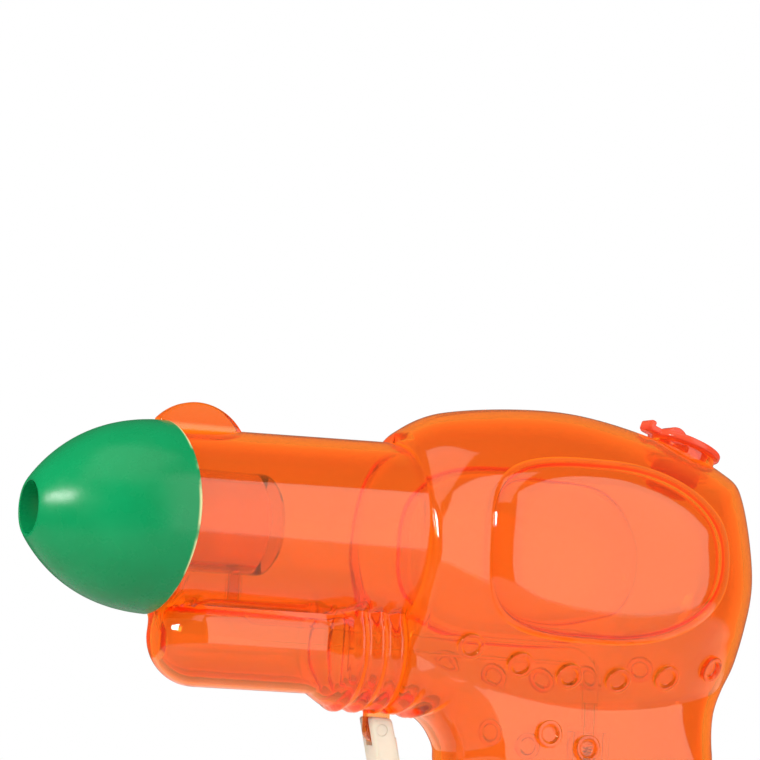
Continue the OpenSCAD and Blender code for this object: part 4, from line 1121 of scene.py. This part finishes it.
def makeDip():
    # straight down from the lower valve to just above the foot's floor
    top, foot = inletFoot - pump.fitFlange - touch, footZ + s.wall + hoses.dipGap
    return putMesh("dipTube", *hoseWall(columns(valveX, linspace(foot, top, 14))))


settle(makeDelivery(), "delivery_tube", hoseClear)
settle(makeDip(), "dip_tube", hoseClear)
print("tubes ready")


# filler plug: a soft flange over the ring, a stem in the hole and a pull tab
plug = Values(play=0.1, capR=8.2, capT=1.5, stem=8.0, chamfer=1.2, reach=2.4, tabW=5.0, seat=1.3,
        crown=0.6, hump=0.36, humpAt=0.42, sunk=0.3, lip=1.5, lipRise=0.9, edge=0.5)


def layFlat(made):
    # a plate that stands on edge is laid down: Y and Z change places
    return made[0][:, [0, 2, 1]], made[1]


def makePlug():
    # a turned cap and stem, with a flat tab, a lip across the tab's end and a round hump joined to it
    v = plug
    r, low, top = s.fillerR - v.play, v.seat - v.stem, v.seat + v.capT
    step, capR, crown = v.chamfer, v.capR, top + v.crown
    profile = eased([(0, low, 0), (r - step, low, 0.5), (r, low + step, 0.5), (r, v.seat, 0.2),
                     (capR, v.seat, 0.5), (capR, top, 0.6), (capR - step, top, 0.4),
                     (capR - 2 * step, crown, 0.6), (0, crown, 0)])
    cap = putMesh("fillerPlug", *deckTurn(revolve(profile, 128)))
    w, far, sunk = v.tabW / 2, -capR - v.reach, v.seat + v.sunk
    tab = eased([(far, -w, 1.4), (0, -w, 0.2), (0, w, 0.2), (far, w, 1.4)], 10)
    add(cap, deckTurn(layFlat(roundedPlate(tab, v.seat + touch, top - touch, v.edge))))
    near = far + v.lip
    lip = eased([(far, -w, 0.7), (near, -w, 0.7), (near, w, 0.7), (far, w, 0.7)], 8)
    add(cap, deckTurn(layFlat(roundedPlate(lip, sunk, top + v.lipRise, v.edge))))
    hump, mid = v.hump * capR, -v.humpAt * capR
    a = linspace(0, pi, 40)
    arc = columns(mid + hump * cos(a), top - hump / 3 + hump * sin(a))
    outline = vstack([arc[arc[:, 1] > sunk], [[mid - hump, sunk], [mid + hump, sunk]]])
    add(cap, deckTurn(roundedPlate(outline, -w, w, v.edge)))
    finishMesh(cap)
    return cap


settle(makePlug(), "filler_plug", redClear, "plug")
print("plug ready")


# studio: a pale floor that fades into the backdrop, a tall soft panel and two fill lamps, in metres and degrees
studio = Values(floorR=0.34, floorGap=0.0002, floorGrid=(24, 96), fade=(0.08, 0.004),
          floorColour=(0.78, 0.77, 0.76), floorRough=0.75, fill=(0.10, 0.38), mirror=0.08,
          middle=(-0.03, 0, 0.055),
          panel=Values(at=(25.0, 6.0, 0.80), size=(0.65, 1.45), power=6.2, colour=(1.0, 0.95, 0.92)),
          top=Values(at=(-40.0, 62.0, 0.90), size=(0.80, 0.80), power=2.6, colour=(1.0, 0.98, 0.95)),
          spot=Values(at=(-76.0, 17.0, 0.9), size=(0.26, 0.18), power=5.6, colour=(1.0, 0.97, 0.93)))


def addPanel(name, v):
    # a rectangular lamp at an azimuth, elevation and distance from the body's middle, facing it
    az, el, far = math.radians(v.at[0]), math.radians(v.at[1]), v.at[2]
    out = array([sin(az) * cos(el), -cos(az) * cos(el), sin(el)])
    data = bpy.data.lights.new(name, "AREA")
    data.shape, data.size, data.size_y = "RECTANGLE", *v.size
    data.energy, data.color = v.power, v.colour
    right = unit(np.cross([0, 0, 1.0], out))
    aim(bpy.data.objects.new(name, data), array(studio.middle) + out * far, right, np.cross(out, right), out)


def addFloor(v):
    # a flat disc under the foot, pale, see-through towards its edge
    rings, sides = v.floorGrid
    r, a = linspace(0.001, v.floorR, rings)[:, None], fullTurn(sides)
    points = columns(r * cos(a), r * sin(a), footZ * mm - v.floorGap).reshape(-1, 3)
    floor = putMesh("floor", points / mm, [gridFaces(rings, sides, False, True), np.arange(sides)[None]])
    material, tree, shader = newMaterial("paleFloor", {
        "Base Color": (*v.floorColour, 1), "Roughness": v.floorRough})
    place, reach = newNode(tree, "TexCoord"), newNode(tree, "VectorMath")
    reach.operation = "LENGTH"
    link(place.outputs["Object"], reach.inputs[0])
    start, end = (v.floorR - d for d in v.fade)
    link(spread(tree, reach.outputs["Value"], 1.0, 0.0, start, end), shader.inputs["Alpha"])
    floor.data.materials.append(material)


def addWorld(v):
    # white where the camera or a clear wall looks at it, dim in reflections, and a soft light that grows upwards
    world = bpy.data.worlds.new("studioWorld")
    scene.world = world
    world.use_nodes = True
    tree = world.node_tree
    sky = tree.nodes["Background"]
    setInputs(sky, {"Color": (1, 1, 1, 1)})
    rays = newNode(tree, "LightPath").outputs
    fill = spread(tree, placeParts(tree, "Generated")["Z"], *v.fill, -1.0, 1.0)
    dim = spread(tree, rays["Is Glossy Ray"], 0.0, v.mirror, 0.0, 1.0)
    link(fill, dim.node.inputs["To Min"])
    seen = rays["Is Camera Ray"]
    for more in (rays["Is Transmission Ray"], dim):
        seen = arithmetic(tree, "MAXIMUM", seen, more)
    link(seen, sky.inputs["Strength"])


for name in ("panel", "top", "spot"):
    addPanel(name + "Lamp", studio[name])
addFloor(studio)
addWorld(studio)
scene.view_settings.view_transform = "Standard"
print("studio ready")
